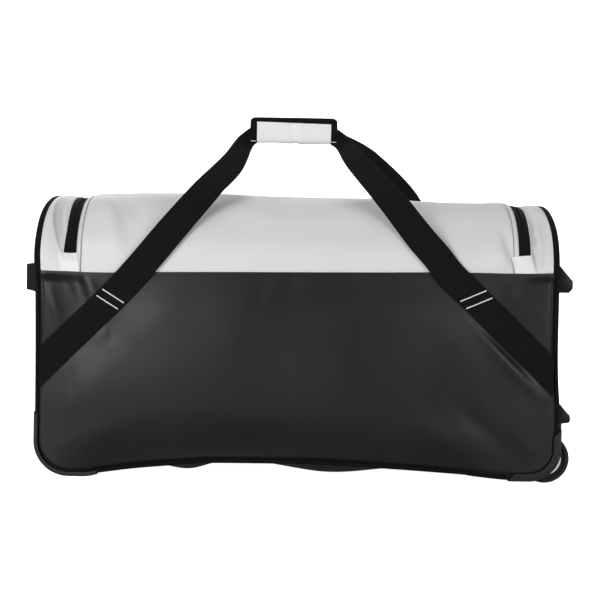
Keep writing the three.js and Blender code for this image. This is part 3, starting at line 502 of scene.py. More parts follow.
def side_depth(x, z):
    """Half the bag's depth on a lower side, with its broad folds."""
    height = np.clip((z - base(x)) / (seam(x) - base(x)), 0, 1)
    from_end = np.minimum(np.abs(x + left_reach(z)), np.abs(right_reach(z) - x))
    still = smooth(from_end, 6, 45) * np.sin(math.pi * height) ** 0.8
    return depth(x) + belly(x) * np.sin(math.pi * height) + fold_lift(BROAD_FOLDS, x, z) * still


def from_outline(x, z):
    """How far inside the outline of a lower side a place is."""
    gap = np.minimum(np.minimum(x + left_reach(z), right_reach(z) - x), z - base(x))
    for end in (LEFT, RIGHT):
        past, drop = end.side * x - end.middle_x, end.middle_z - z
        gap = np.where((past > 0) & (drop > 0), end.corner - np.hypot(past, drop), gap)
    return gap


def side_edge(end, height):
    """Where a lower side ends at a height, round the lower corner too."""
    drop = end.corner - np.minimum(height, end.corner)
    corner = end.middle_x + np.sqrt(np.maximum(end.corner ** 2 - drop ** 2, 0))
    return end.side * np.where(height >= end.corner, end.reach(end.low + height), corner)


def spline(points, per_row):
    """A smooth line through points, with its directions."""
    points = np.asarray(points, float)
    wide = np.vstack([2 * points[0] - points[1], points, 2 * points[-1] - points[-2]])
    line, ways = [], []
    last = len(points) - 2
    for row in range(last + 1):
        p0, p1, p2, p3 = wide[row:row + 4]
        d0, d1, d2 = (np.sum((b - a) ** 2) ** 0.25 for a, b in ((p0, p1), (p1, p2), (p2, p3)))
        leave = ((p1 - p0) / d0 - (p2 - p0) / (d0 + d1) + (p2 - p1) / d1) * d1
        arrive = ((p2 - p1) / d1 - (p3 - p1) / (d1 + d2) + (p3 - p2) / d2) * d1
        t = np.linspace(0, 1, per_row + 1)[:per_row + (row == last), None]
        bend, twist = -3 * p1 + 3 * p2 - 2 * leave - arrive, 2 * p1 - 2 * p2 + leave + arrive
        line.append(p1 + leave * t + bend * t ** 2 + twist * t ** 3)
        ways.append(leave + 2 * bend * t + 3 * twist * t ** 2)
    return np.concatenate(line), unit(np.concatenate(ways))


def strap_depth(x, z):
    """Half depth of a strap's middle line where it lies on a lower side."""
    under = [side_depth(x + dx * STRAP_HALF_WIDTH, z + dz * STRAP_HALF_WIDTH)
             for dx, dz in ((0, 0), (1, 0), (-1, 0), (0, 1), (0, -1))]
    return np.max(under, axis=0) + STRAP_HALF_THICKNESS + STRAP_CLEAR


def strap_line(rows, per_row=8):
    """A strap's middle line, its directions across the webbing and out of it, and its width."""
    points = [(x, -(strap_depth(x, z) if y is None else y), z) for x, y, z, _ in rows]
    line, ways = spline(points, per_row)
    flat = unit(rows_of(-ways[:, 2], 0.0, ways[:, 0]))
    out = np.cross(ways, flat)
    place = np.arange(len(line)) / per_row
    width = np.interp(place, np.arange(len(rows)), [row[3] for row in rows])
    for i, spot_in_rows in enumerate(place):
        row = min(int(spot_in_rows), len(rows) - 2)
        if rows[row][1] is None and rows[row + 1][1] is None:
            line[i, 1] = -strap_depth(line[i, 0], line[i, 2])
    for i in (0, -1):
        flat[i] = (0, 0, 1 / flat[i, 2])
    return line, flat, out, width


# Meshes

def in_metres(points):
    return (np.asarray(points, float) + (SHIFT, 0, 0)) * MM


def spot(x, y, z):
    return Vector(((x + SHIFT) * MM, y * MM, z * MM))


def new_piece(name, points, faces, cloth_places=None):
    """A piece from points in millimetres, with its place in its mesh."""
    mesh = bpy.data.meshes.new(name)
    mesh.from_pydata(in_metres(points).tolist(), [], faces)
    if cloth_places is not None:
        loops = np.empty(len(mesh.loops), int)
        mesh.loops.foreach_get("vertex_index", loops)
        layer = mesh.uv_layers.new(name="cloth")
        layer.data.foreach_set("uv", (np.asarray(cloth_places)[loops] * MM).ravel())
    piece = bpy.data.objects.new(name, mesh)
    bpy.context.scene.collection.objects.link(piece)
    return piece


def run_lengths(grid, axis):
    """Mean length along a grid's rows or columns."""
    steps = np.linalg.norm(np.diff(grid, axis=axis), axis=-1).mean(axis=1 - axis)
    return np.concatenate([[0], np.cumsum(steps)])


def cloth(name, grid, thickness):
    """A cloth piece from a grid of points, given its thickness inwards and closed round its edges."""
    normal = np.cross(np.gradient(grid, axis=1), np.gradient(grid, axis=0))
    normal /= np.maximum(np.linalg.norm(normal, axis=-1, keepdims=True), 1e-9)
    outwards = np.sign(np.sum(normal * (grid - (0, 0, 200))))
    rows, columns = grid.shape[:2]
    count = rows * columns
    index = np.arange(count).reshape(rows, columns)
    top = rows_of(index[:-1, :-1], index[:-1, 1:], index[1:, 1:], index[1:, :-1]).reshape(-1, 4)
    rim = np.concatenate([index[0], index[1:, -1], index[-1, -2::-1], index[-2:0:-1, 0]])
    ahead = np.roll(rim, -1)
    sides = rows_of(ahead, rim, rim + count, ahead + count)
    faces = np.concatenate([top, top[:, ::-1] + count, sides])
    if outwards < 0:
        faces = faces[:, ::-1]
    points = np.concatenate([grid.reshape(-1, 3), (grid - normal * outwards * thickness).reshape(-1, 3)])
    u, v = np.meshgrid(run_lengths(grid, 1), run_lengths(grid, 0))
    places = np.tile(rows_of(u, v).reshape(-1, 2), (2, 1))
    return new_piece(name, points, faces.tolist(), places)


def loft(name, rings, across):
    """A closed skin over rings of points; across gives each ring point's place over the width."""
    count, size = rings.shape[:2]
    index = np.arange(count * size).reshape(count, size)
    ahead = np.roll(index, -1, axis=1)
    quads = rows_of(index[:-1], ahead[:-1], ahead[1:], index[1:]).reshape(-1, 4)
    faces = quads.tolist() + [index[0, ::-1].tolist(), index[-1].tolist()]
    places = rows_of(np.broadcast_to(across, (count, size)), run_lengths(rings, 0)[:, None]).reshape(-1, 2)
    piece = new_piece(name, rings.reshape(-1, 3), faces, places)
    face_outwards(piece)
    return piece


def face_outwards(piece):
    mesh = bmesh.new()
    mesh.from_mesh(piece.data)
    bmesh.ops.recalc_face_normals(mesh, faces=mesh.faces)
    mesh.to_mesh(piece.data)
    mesh.free()


STITCH_FACES = (
    (0, 1, 2), (0, 2, 3), (0, 3, 4), (0, 4, 1), (1, 5, 6, 2), (2, 6, 7, 3), (3, 7, 8, 4), (4, 8, 5, 1),
    (9, 6, 5), (9, 7, 6), (9, 8, 7), (9, 5, 8),
)


def lozenges(name, starts, ends, ups, radius, flat=1.0):
    """Many small tapered bars, each from a start to an end, such as stitches or coils."""
    way = ends - starts
    side, up = unit(np.cross(way, ups)), unit(ups)
    corners = [starts]
    for share in (0.2, 0.8):
        middle = starts + way * share
        corners += [middle + side * radius, middle + up * radius * flat,
                    middle - side * radius, middle - up * radius * flat]
    corners.append(ends)
    points = np.stack(corners, 1)
    faces = [[corner + 10 * i for corner in face] for i in range(len(points)) for face in STITCH_FACES]
    piece = new_piece(name, points.reshape(-1, 3), faces, np.zeros((points.size // 3, 2)))
    face_outwards(piece)
    return piece


def resampled(line, pitch):
    """Places at an even spacing along a line of rows of numbers whose first three are a point."""
    run = runs(line[:, :3])
    places = np.arange(pitch / 2, run[-1], pitch)
    return rows_of(*(np.interp(places, run, column) for column in line.T))


def stitches(name, lines, radius=0.42, lift=0.15, stitch=None, gap=None):
    """Rows of stitches along lines, each with the surface's outward direction or directions."""
    stitch = stitch or sizes().stitch / MM
    pitch = stitch + (gap or sizes().stitch_gap / MM)
    starts, ends, ups = [], [], []
    for points, outs in lines:
        rows = resampled(np.hstack([points, np.broadcast_to(outs, points.shape)]), pitch)
        way = unit(np.gradient(rows[:, :3], axis=0))
        middle = rows[:, :3] + rows[:, 3:] * lift
        starts.append(middle - way * stitch / 2)
        ends.append(middle + way * stitch / 2)
        ups.append(rows[:, 3:])
    return lozenges(name, *(np.concatenate(part) for part in (starts, ends, ups)), radius)


def only(piece):
    """Makes a piece the one that is selected and active."""
    bpy.ops.object.select_all(action="DESELECT")
    piece.select_set(True)
    bpy.context.view_layer.objects.active = piece


def finish(piece, look, slot, *nodes, body="bag"):
    """Gives a piece its look, by name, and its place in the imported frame."""
    only(piece)
    bpy.ops.object.shade_smooth_by_angle(angle=SMOOTH_ANGLE)
    piece.data.materials.clear()
    piece.data.materials.append(look_of(look))
    if nodes:
        piece.name = piece.data.name = f"{nodes[0]}_{look.split()[-1]}"
        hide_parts(*nodes)
    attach(piece, body)
    return piece


def mirrored(piece):
    """A copy at the back of the bag, with its own mesh."""
    copy = piece.copy()
    copy.data = piece.data.copy()
    copy.data.transform(Matrix.Scale(-1, 4, (0, 1, 0)))
    copy.data.flip_normals()
    bpy.context.scene.collection.objects.link(copy)
    return copy


def finish_both(piece, look, slot, name, body="bag"):
    """Finishes a front piece and its copy at the back; braces in the body's name stand for the place."""
    for made, place in ((piece, "front"), (mirrored(piece), "back")):
        finish(made, look, slot, f"{name}_{place}", body=body.format(place))


# Modelling by hand

def begin(primitive, name, spans, place, **settings):
    """Adds one primitive of given spans at a place in millimetres, with nothing else selected."""
    bpy.ops.object.select_all(action="DESELECT")
    primitive(location=spot(*place), **settings)
    piece = bpy.context.object
    piece.name = piece.data.name = name
    piece.scale = [span * MM for span in spans]
    bpy.ops.object.transform_apply(location=True, rotation=True, scale=True)
    return piece


def cube(name, low, high):
    low, high = Vector(low), Vector(high)
    return begin(bpy.ops.mesh.primitive_cube_add, name, high - low, (low + high) / 2, size=1)


def edit(piece, mode="FACE"):
    only(piece)
    bpy.ops.object.mode_set(mode="EDIT")
    bpy.ops.mesh.select_mode(type=mode)


def leave():
    bpy.ops.object.mode_set(mode="OBJECT")


def middle_of(part):
    corners = [vert.co for vert in part.verts]
    middle = sum(corners, Vector()) / len(corners) / MM
    return middle - Vector((SHIFT, 0, 0))


def pick(piece, kind, test):
    """Selects the faces or edges of the mesh in hand that pass a test of their middle and direction."""
    bpy.ops.mesh.select_all(action="DESELECT")
    mesh = bmesh.from_edit_mesh(piece.data)
    found = 0
    for part in getattr(mesh, kind):
        if kind == "faces":
            way = part.normal
        else:
            way = (part.verts[1].co - part.verts[0].co).normalized()
        if test(middle_of(part), way):
            part.select_set(True)
            found += 1
    bmesh.update_edit_mesh(piece.data)
    if not found:
        raise RuntimeError(f"{piece.name}: no {kind} there")


def extrude(x, y, z):
    bpy.ops.mesh.extrude_region_move(TRANSFORM_OT_translate={"value": (x * MM, y * MM, z * MM)})


def spin(middle, degrees, steps):
    """Turns what is selected about a line through a place along the bag's depth."""
    bpy.ops.mesh.spin(steps=steps, angle=math.radians(degrees), center=spot(*middle), axis=(0, 1, 0))


def bisect(place, normal):
    """Cuts away what lies beyond a plane and closes the cut."""
    bpy.ops.mesh.select_all(action="SELECT")
    bpy.ops.mesh.bisect(plane_co=spot(*place), plane_no=normal, use_fill=True, clear_outer=True)


def panelled(piece, test, margin, sink=0):
    """Insets the faces that pass a test, and sinks what lies inside the margin."""
    edit(piece)
    pick(piece, "faces", test)
    bpy.ops.mesh.inset(thickness=margin * MM)
    if sink:
        bpy.ops.transform.shrink_fatten(value=-sink * MM)
    leave()


def bevelled(piece, test, offset, segments):
    """Rounds the edges that pass a test."""
    edit(piece, "EDGE")
    pick(piece, "edges", test)
    bpy.ops.mesh.bevel(offset=offset * MM, segments=segments)
    leave()


def modify(piece, kind, **settings):
    only(piece)
    modifier = piece.modifiers.new(kind.lower(), kind)
    for name, value in settings.items():
        setattr(modifier, name, value)
    bpy.ops.object.modifier_apply(modifier=modifier.name)


def round_edges(piece, width, segments=2, degrees=30):
    modify(piece, "BEVEL", width=width * MM, segments=segments, limit_method="ANGLE",
           angle_limit=math.radians(degrees))


def close_up(piece):
    """Merges doubles and turns all faces outwards, in edit mode."""
    edit(piece, "VERT")
    bpy.ops.mesh.select_all(action="SELECT")
    bpy.ops.mesh.remove_doubles(threshold=1e-6)
    bpy.ops.mesh.normals_make_consistent(inside=False)
    leave()


def joined(pieces):
    only(pieces[0])
    for piece in pieces:
        piece.select_set(True)
    bpy.ops.object.join()
    return pieces[0]


# Node groups and finishes

def node(tree, kind, inputs=None, **settings):
    """Adds a node; an input that is another node's socket is linked, any other is set."""
    new = tree.nodes.new(kind)
    for name, value in settings.items():
        setattr(new, name, value)
    for name, value in (inputs or {}).items():
        if isinstance(value, bpy.types.NodeSocket):
            tree.links.new(value, new.inputs[name])
        else:
            new.inputs[name].default_value = value
    return new


def math_node(tree, operation, a, b=0.0, c=0.0):
    return node(tree, "ShaderNodeMath", {0: a, 1: b, 2: c}, operation=operation).outputs[0]


def new_group(name, inputs, outputs):
    """A shader node group with named sockets, and its input and output nodes."""
    tree = bpy.data.node_groups.new(name, "ShaderNodeTree")
    for socket, kind, default in inputs:
        made = tree.interface.new_socket(socket, in_out="INPUT", socket_type=kind)
        if default is not None:
            made.default_value = default
    for socket, kind in outputs:
        tree.interface.new_socket(socket, in_out="OUTPUT", socket_type=kind)
    return tree, tree.nodes.new("NodeGroupInput").outputs, tree.nodes.new("NodeGroupOutput").inputs


VECTOR, FLOAT = "NodeSocketVector", "NodeSocketFloat"


def scrim_group():
    """Over and under threads of a woven cloth, as seen through its coating."""
    tree, given, put = new_group("scrim weave", [("Place", VECTOR, None), ("Pitch", FLOAT, 0.0016)],
                                 [("Height", FLOAT)])
    axes = node(tree, "ShaderNodeSeparateXYZ", {0: given["Place"]}).outputs
    threads = [math_node(tree, "DIVIDE", axes[i], given["Pitch"]) for i in (0, 1)]
    humps = [math_node(tree, "ABSOLUTE", math_node(tree, "SINE", math_node(tree, "MULTIPLY", t, math.pi)))
             for t in threads]
    cells = [math_node(tree, "FLOOR", t) for t in threads]
    over = math_node(tree, "FLOORED_MODULO", math_node(tree, "ADD", *cells), 2.0)
    blend = node(tree, "ShaderNodeMix", {0: over, 2: humps[0], 3: humps[1]}, data_type="FLOAT")
    tree.links.new(blend.outputs[0], put["Height"])
    return tree


def coating_group():
    """The fine grain and the slow unevenness of a coated or moulded surface."""
    tree, given, put = new_group("coating grain", [("Place", VECTOR, None), ("Grain", FLOAT, 900.0)],
                                 [("Height", FLOAT), ("Mottle", FLOAT)])
    grain = node(tree, "ShaderNodeTexNoise", {"Vector": given["Place"], "Scale": given["Grain"],
                                              "Detail": 3.0, "Roughness": 0.6})
    pits = node(tree, "ShaderNodeTexVoronoi", {"Vector": given["Place"], "Scale": given["Grain"]},
                feature="SMOOTH_F1")
    mottle = node(tree, "ShaderNodeTexNoise", {"Vector": given["Place"], "Scale": 9.0, "Detail": 4.0,
                                               "Roughness": 0.55, "Distortion": 0.4})
    height = math_node(tree, "ADD", grain.outputs[0], pits.outputs["Distance"])
    tree.links.new(height, put["Height"])
    tree.links.new(mottle.outputs[0], put["Mottle"])
    return tree


def webbing_group():
    """Ribs of webbing, with a chevron that turns from band to band over the width, and painted shade: Shade
    is darker in the grooves between the ribs, lighter on their crests.
    """
    tree, given, put = new_group(
        "webbing ribs", [("Place", VECTOR, None), ("Pitch", FLOAT, 0.0021), ("Band", FLOAT, 0.0056)],
        [("Height", FLOAT), ("Shade", FLOAT)])
    axes = node(tree, "ShaderNodeSeparateXYZ", {0: given["Place"]}).outputs
    slant = math_node(tree, "PINGPONG", axes[0], given["Band"])
    along = math_node(tree, "ADD", axes[1], slant)
    count = math_node(tree, "DIVIDE", along, given["Pitch"])
    ribs = math_node(tree, "SINE", math_node(tree, "MULTIPLY", count, 2 * math.pi))
    yarn = node(tree, "ShaderNodeTexNoise", {"Vector": given["Place"], "Scale": 1500.0, "Detail": 2.0})
    height = math_node(tree, "MULTIPLY_ADD", ribs, 0.5, yarn.outputs[0])
    # Painted shade: the colour follows the ribs, darker in their grooves and lighter on their crests
    shade = math_node(tree, "MULTIPLY_ADD", ribs, 0.25, 0.6)
    tree.links.new(height, put["Height"])
    tree.links.new(shade, put["Shade"])
    return tree


def wear_group():
    """Where floor dust and light scuffs gather: low down, and in patches."""
    tree, given, put = new_group("dust and scuffs", [("Place", VECTOR, None), ("Top", FLOAT, 0.06),
                                                     ("Amount", FLOAT, 0.3)], [("Mask", FLOAT)])
    height = node(tree, "ShaderNodeSeparateXYZ", {0: given["Place"]}).outputs[2]
    low = math_node(tree, "SUBTRACT", 1.0, math_node(tree, "DIVIDE", height, given["Top"]))
    near_floor = node(tree, "ShaderNodeClamp", {0: low}).outputs[0]
    patches = node(tree, "ShaderNodeTexNoise", {"Vector": given["Place"], "Scale": 60.0, "Detail": 6.0,
                                                "Roughness": 0.7})
    flecks = node(tree, "ShaderNodeMapRange", {0: patches.outputs[0], 1: 0.5, 2: 0.75})
    dusty = math_node(tree, "MULTIPLY", near_floor, flecks.outputs[0])
    tree.links.new(math_node(tree, "MULTIPLY", dusty, given["Amount"]), put["Mask"])
    return tree


GROUP_MAKERS = {"scrim weave": scrim_group, "coating grain": coating_group, "webbing ribs": webbing_group,
                "dust and scuffs": wear_group}


def placed(tree, name, **inputs):
    """A shared node group, built once and placed in a material with its own values."""
    group = bpy.data.node_groups.get(name) or GROUP_MAKERS[name]()
    return node(tree, "ShaderNodeGroup", inputs, node_tree=group).outputs


def new_look(name, roughness, specular, metallic=0.0):
    """A material with a shader whose plain values are set on its own sockets."""
    look = bpy.data.materials.new(name)
    look.use_nodes = True
    tree = look.node_tree
    shader = tree.nodes["Principled BSDF"]
    values = {"Roughness": roughness, "Specular IOR Level": specular, "Metallic": metallic}
    for socket, value in values.items():
        shader.inputs[socket].default_value = value
    return look, tree, shader, tree.nodes.new("ShaderNodeTexCoord").outputs


def shaded(tree, shader, dark, light, share):
    """A colour between two, by a value that changes over the surface."""
    blend = node(tree, "ShaderNodeMix", {0: share, 6: (*dark, 1), 7: (*light, 1)}, data_type="RGBA")
    tree.links.new(blend.outputs[2], shader.inputs["Base Color"])
    return blend


def bumped(tree, shader, height, strength, distance):
    bump = node(tree, "ShaderNodeBump", {"Height": height, "Strength": strength, "Distance": distance})
    tree.links.new(bump.outputs[0], shader.inputs["Normal"])


def uneven_gloss(tree, shader, mottle, smoothest, roughest):
    gloss = node(tree, "ShaderNodeMapRange", {0: mottle, 1: 0.3, 2: 0.7, 3: smoothest, 4: roughest})
    tree.links.new(gloss.outputs[0], shader.inputs["Roughness"])


def scaled(colour_in, factor):
    return [min(part * factor, 1) for part in colour_in]


def coated_cloth(name, tint, roughness, spread, specular):
    """Tarpaulin: a smooth coating with a faint scrim, grain and uneven sheen."""
    look, tree, shader, places = new_look(name, roughness, specular)
    grain = placed(tree, "coating grain", Place=places["Object"], Grain=850.0)
    scrim = placed(tree, "scrim weave", Place=places["UV"], Pitch=sizes().scrim_pitch)
    shaded(tree, shader, scaled(tint, 1 - spread), scaled(tint, 1 + spread), grain["Mottle"])
    uneven_gloss(tree, shader, grain["Mottle"], roughness - 0.05, roughness + 0.07)
    height = math_node(tree, "MULTIPLY_ADD", scrim["Height"], 0.7, grain["Height"])
    bumped(tree, shader, height, 0.22, 0.0002)
    return look


def woven_webbing(name, tint, pitch, band):
    """Webbing or tape; without a pitch of its own it takes that of the straps."""
    look, tree, shader, places = new_look(name, 0.8, 0.1)
    ribs = placed(tree, "webbing ribs", Place=places["UV"], Pitch=pitch or sizes().rib_pitch, Band=band)
    # Painted shade from the ribs: darker in the grooves between them, lighter on their crests
    shaded(tree, shader, scaled(tint, 0.55), scaled(tint, 1.5), ribs["Shade"])
    bumped(tree, shader, ribs["Height"], 0.6, 0.00035)
    return look


def moulded(name, tint, roughness, dust, specular):
    """Moulded plastic or rubber with a fine grain, dusty near the floor."""
    look, tree, shader, places = new_look(name, roughness, specular)
    grain = placed(tree, "coating grain", Place=places["Object"], Grain=1400.0)
    wear = placed(tree, "dust and scuffs", Place=places["Object"], Top=0.07, Amount=dust)
    blend = shaded(tree, shader, scaled(tint, 0.88), scaled(tint, 1.12), grain["Mottle"])
    dusty = node(tree, "ShaderNodeMix", {0: wear["Mask"], 6: blend.outputs[2], 7: DUST}, data_type="RGBA")
    tree.links.new(dusty.outputs[2], shader.inputs["Base Color"])
    uneven_gloss(tree, shader, grain["Mottle"], roughness - 0.04, roughness + 0.06)
    bumped(tree, shader, grain["Height"], 0.18, 0.00025)
    return look


def fine_grained(name, tint, grain_scale, lightest, bump, *shader_values):
    """Thread or bare metal."""
    look, tree, shader, places = new_look(name, *shader_values)
    grain = placed(tree, "coating grain", Place=places["Object"], Grain=grain_scale)
    shaded(tree, shader, scaled(tint, 0.85), scaled(tint, lightest), grain["Mottle"])
    bumped(tree, shader, grain["Height"], bump, 0.0001)
    return look


# Finishes: the maker, the colour, how much lighter than that colour it is, and the maker's values
DUST = (0.3, 0.29, 0.27, 1)
THREAD = (2500.0, 1.15, 0.3, 0.7, 0.3)
LOOKS = {
    "lower cloth": (coated_cloth, "lower_cloth", 1, 0.36, 0.12, 0.26),
    "roof cloth": (coated_cloth, "roof_cloth", 1, 0.5, 0.025, 0.4),
    "tab cloth": (coated_cloth, "tab_cloth", 0.9, 0.55, 0.02, 0.35),
    # The grip's wrap is the roof cloth made 1.2 times lighter: painted light on the wrap
    "grip cloth": (coated_cloth, "roof_cloth", 1.2, 0.5, 0.02, 0.4),
    "strap webbing": (woven_webbing, "webbing", 1, None, 0.0056),
    "piping cloth": (woven_webbing, "webbing", 1, 0.0012, 0.002),
    "zip weave": (woven_webbing, "zip", 1, 0.0009, 0.0015),
    "zip coil": (moulded, "zip", 1, 0.62, 0.0, 0.08),
    "guard plastic": (moulded, "guard", 1, 0.42, 0.06, 0.25),
    "foot plastic": (moulded, "foot", 0.8, 0.34, 0.05, 0.18),
    "hub plastic": (moulded, "hub", 1.12, 0.22, 0.02, 0.5),
    "tyre rubber": (moulded, "tyre", 1.5, 0.6, 0.03, 0.2),
    "axle steel": (fine_grained, "steel", 1, 700.0, 1.1, 0.1, 0.3, 0.5, 1.0),
    "bar tack thread": (fine_grained, "bar_tack", 1, *THREAD),
    "black thread": (fine_grained, "webbing", 1.6, *THREAD),
    "roof thread": (fine_grained, "roof_cloth", 0.92, *THREAD),
    # Half the roof cloth's colour: the seam's thread and painted shadow in the groove at the lid's edge
    "seam thread": (fine_grained, "roof_cloth", 0.5, *THREAD),
}


def look_of(name):
    """A finish of the bag by its name, made when it is first asked for."""
    make, tint, factor, *values = LOOKS[name]
    return bpy.data.materials.get(name) or make(name, scaled(getattr(colours(), tint), factor), *values)


# Fabric pieces

def panel_grid(facing):
    """A lower side, pressed smooth under the strap that crosses it."""
    corner = LEFT.corner * (1 - np.cos(np.linspace(CORNER_START, math.pi / 2, CORNER_ROWS)))
    tall = float(seam(-340)) - LEFT.low
    heights = np.concatenate([corner, np.linspace(LEFT.corner, tall, PANEL_ROWS)[1:]])
    left = side_edge(LEFT, heights) + SIDE_TUCK
    right = side_edge(RIGHT, heights) - SIDE_TUCK
    x = mix(left[:, None], right[:, None], np.linspace(0, 1, PANEL_COLUMNS)[None, :])
    z = base(x) + (heights / tall)[:, None] * (seam(x) + SEAM_LAP - base(x))
    inside = from_outline(x, z)
    loose = smooth(inside, 3, 14) * smooth(seam(x) - z, 0, 18)
    fine = fold_lift(FINE_FOLDS, x, z, True) + waves(x, z, 0.2 if facing < 0 else 1.7)
    line = strap_line(FRONT_STRAP)[0]
    flat_x, flat_z = x[..., None] - line[:, 0], z[..., None] - line[:, 2]
    gaps = np.hypot(flat_x, flat_z)
    gap = gaps.min(-1)
    pillow = STRAP_PRESS * smooth(gap, 18, 80) * smooth(inside, 10, 70) * smooth(seam(x) - z, 5, 60)
    from_ends = np.minimum(x + left_reach(z), right_reach(z) - x)
    under = smooth(z - curve(UNDER_ARC)(x), -63, 12) - 0.5
    under = TURN_UNDER * under * smooth(from_ends, 5, 120) * smooth(seam(x) - z, 0, 90)
    out = side_depth(x, z) + pillow + under + fine * loose - EDGE_DIP * (1 - smooth(inside, 4.4, 9))
    over = -line[gaps.argmin(-1), 1] - STRAP_HALF_THICKNESS - STRAP_AIR
    out = mix(out, np.minimum(out, over), 1 - smooth(gap, 20, 32))
    return rows_of(x, facing * out, z)


def zip_line(offset, fine=1):
    """Places x and girth along the zip's U, set off sideways: plus is away from the lid."""
    turn_x, radius = ZIP_X - ZIP_TURN, ZIP_TURN + offset
    girth = np.linspace(1, ZIP_TURN_START, 90 * fine, endpoint=False)
    angle = np.linspace(0, math.pi / 2, 24 * fine)
    half = np.concatenate([
        rows_of(-ZIP_X - offset, girth),
        rows_of(-turn_x - radius * np.cos(angle), ZIP_TURN_START + radius * np.sin(angle)),
    ])
    run = np.linspace(-turn_x, turn_x, 110 * fine)[1:-1]
    back = rows_of(run, ZIP_TURN_START + radius)
    return np.concatenate([half, back, (half * (-1, 1))[::-1]])


def zip_band(columns):
    """A grid that follows the zip's U, from columns of an offset and a lift."""
    return np.stack([roof(*zip_line(offset).T, lift) for offset, lift in columns], 1)


def roof_line(places, lift):
    """Points over the roof with its outward directions."""
    points = roof(places[:, 0], places[:, 1], lift)
    return points, arch_normal(places[:, 0], angle_at(places[:, 1]))


def lid_grid():
    inset = ZIP_HALF + 6.4 + 0.2
    half, turn = ZIP_X - inset, ZIP_TURN - inset
    back = ZIP_TURN_START + turn
    girth = np.concatenate([np.linspace(0, ZIP_TURN_START, 112),
                            mix(ZIP_TURN_START, back, np.sin(np.linspace(0, math.pi / 2, 26)))[1:]])
    past = np.maximum(girth - ZIP_TURN_START, 0)
    reach = half - turn + np.sqrt(np.maximum(turn ** 2 - past ** 2, 0))
    edge = 1 - np.array((0, 0.7, 1.5, 2.5, 3.7, 5.2, 7, 9.5)) / half
    across = np.concatenate([-edge, np.linspace(-edge[-1], edge[-1], 150)[1:-1], edge[::-1]])
    tuck = -SEAM_TUCK * (1 - smooth(girth, 0, 3))
    from_edge = np.minimum(reach[:, None] * (1 - np.abs(across)), (back - girth)[:, None])
    lift = tuck[:, None] - GROOVE * (1 - smooth(from_edge, 0.5, 6))
    return roof(reach[:, None] * across, girth[:, None], lift)


def shoulder_grid(end):
    girth = np.linspace(0, GIRTH, ROOF_ROWS)
    outer = end.reach(arch(end.side * END_X, angle_at(girth))[:, 2]) - SIDE_TUCK
    x = mix(outer[:, None], ZIP_X + ZIP_HALF + 1.3, np.linspace(0, 1, 44))
    tuck = -SEAM_TUCK * (1 - smooth(np.minimum(girth, GIRTH - girth), 0, 3))
    return roof(end.side * x, girth[:, None], tuck[:, None])


def yoke_grid():
    half, turn_x = ZIP_X + ZIP_HALF + 1, ZIP_X - ZIP_TURN
    radius = ZIP_TURN + ZIP_HALF + 0.3
    x = half * np.sin(np.linspace(-math.pi / 2, math.pi / 2, 150))
    past = np.minimum(np.maximum(np.abs(x) - turn_x, 0), radius)
    top = ZIP_TURN_START + np.sqrt(radius ** 2 - past ** 2)
    v = np.linspace(0, 1, 22)[:, None]
    girth = mix(top[None, :], GIRTH, v)
    return roof(x[None, :], girth, -1.6 * smooth(v, 0.9, 1))


def corner_path(end, tail, steps):
    """The base's line round one lower corner, from the end towards the middle."""
    angle = np.linspace(0, math.pi / 2, steps)
    arc = rows_of(end.side * (end.middle_x + end.corner * np.cos(angle)),
                  end.middle_z - end.corner * np.sin(angle))
    run = np.linspace(end.side * end.middle_x, tail, 14)[1:]
    return np.concatenate([arc, rows_of(run, base(run))])


def base_grid():
    middle = np.linspace(-300, 300, 110)[1:-1]
    path = np.concatenate([corner_path(LEFT, -300, 16), rows_of(middle, base(middle)),
                           corner_path(RIGHT, 300, 16)[::-1]])
    x, z = path[:, 0, None], path[:, 1, None]
    half = depth(x) - SIDE_TUCK
    y = half * np.sin(np.linspace(-math.pi / 2, math.pi / 2, 80))
    sag = sum(drop * np.exp(-(((x - at) / run) ** 2)) for at, run, drop in BASE_SAGS)
    loose = smooth(half - np.abs(y), 0, SAG_EDGE)
    ripple = 0.7 * waves(x, y, 2.3) * smooth(half - np.abs(y), 4, 40) * smooth(300 - np.abs(x), 0, 60)
    return rows_of(x, y, z - sag * loose + ripple)


def end_grid(end):
    x = end.side * END_X
    seam_z, crest_z, half = float(seam(x)), float(crest(x)), float(depth(x)) - SIDE_TUCK
    angle = np.linspace(0, math.radians(84), 34)
    rows = np.concatenate([
        rows_of(np.linspace(end.middle_z, seam_z, 50)[:-1], half),
        rows_of(seam_z + (crest_z - seam_z - SIDE_TUCK) * np.sin(angle) ** ARCH,
                half * np.cos(angle) ** ARCH)])
    z, y = rows[:, 0, None], rows[:, 1, None] * np.linspace(-1, 1, 70)
    share = (z - rows[0, 0]) / (rows[-1, 0] - rows[0, 0])
    puff = 3 if end.side < 0 else 1.2
    still = np.cos(y / 185 * math.pi / 2) * np.sin(math.pi * share)
    x = end.side * (end.reach(z) + (puff + 0.7 * waves(y, z, 1.1 + end.side)) * still)
    return rows_of(x, y, z)


def tab_grid(top, foot, width, slant):
    v = np.linspace(0, 1, 14)[:, None]
    u = np.linspace(-0.5, 0.5, 14)[None, :]
    curl = 0.5 * (2 * u) ** 4 - 0.4 * (1 - v)
    girth = mix(*TAB_GIRTH, v) + slant * u * v
    return roof(mix(foot, top, v) + width * u, girth, TAB_LIFT - 0.5 + curl)


def binding_grid(end):
    """The strip that binds the roof's edge beside the piping."""
    girth = np.linspace(0, GIRTH, ROOF_ROWS)
    reach = end.reach(arch(end.side * END_X, angle_at(girth))[:, 2])
    return np.stack([roof(end.side * (reach - inset), girth, lift) for inset, lift in BINDING], 1)


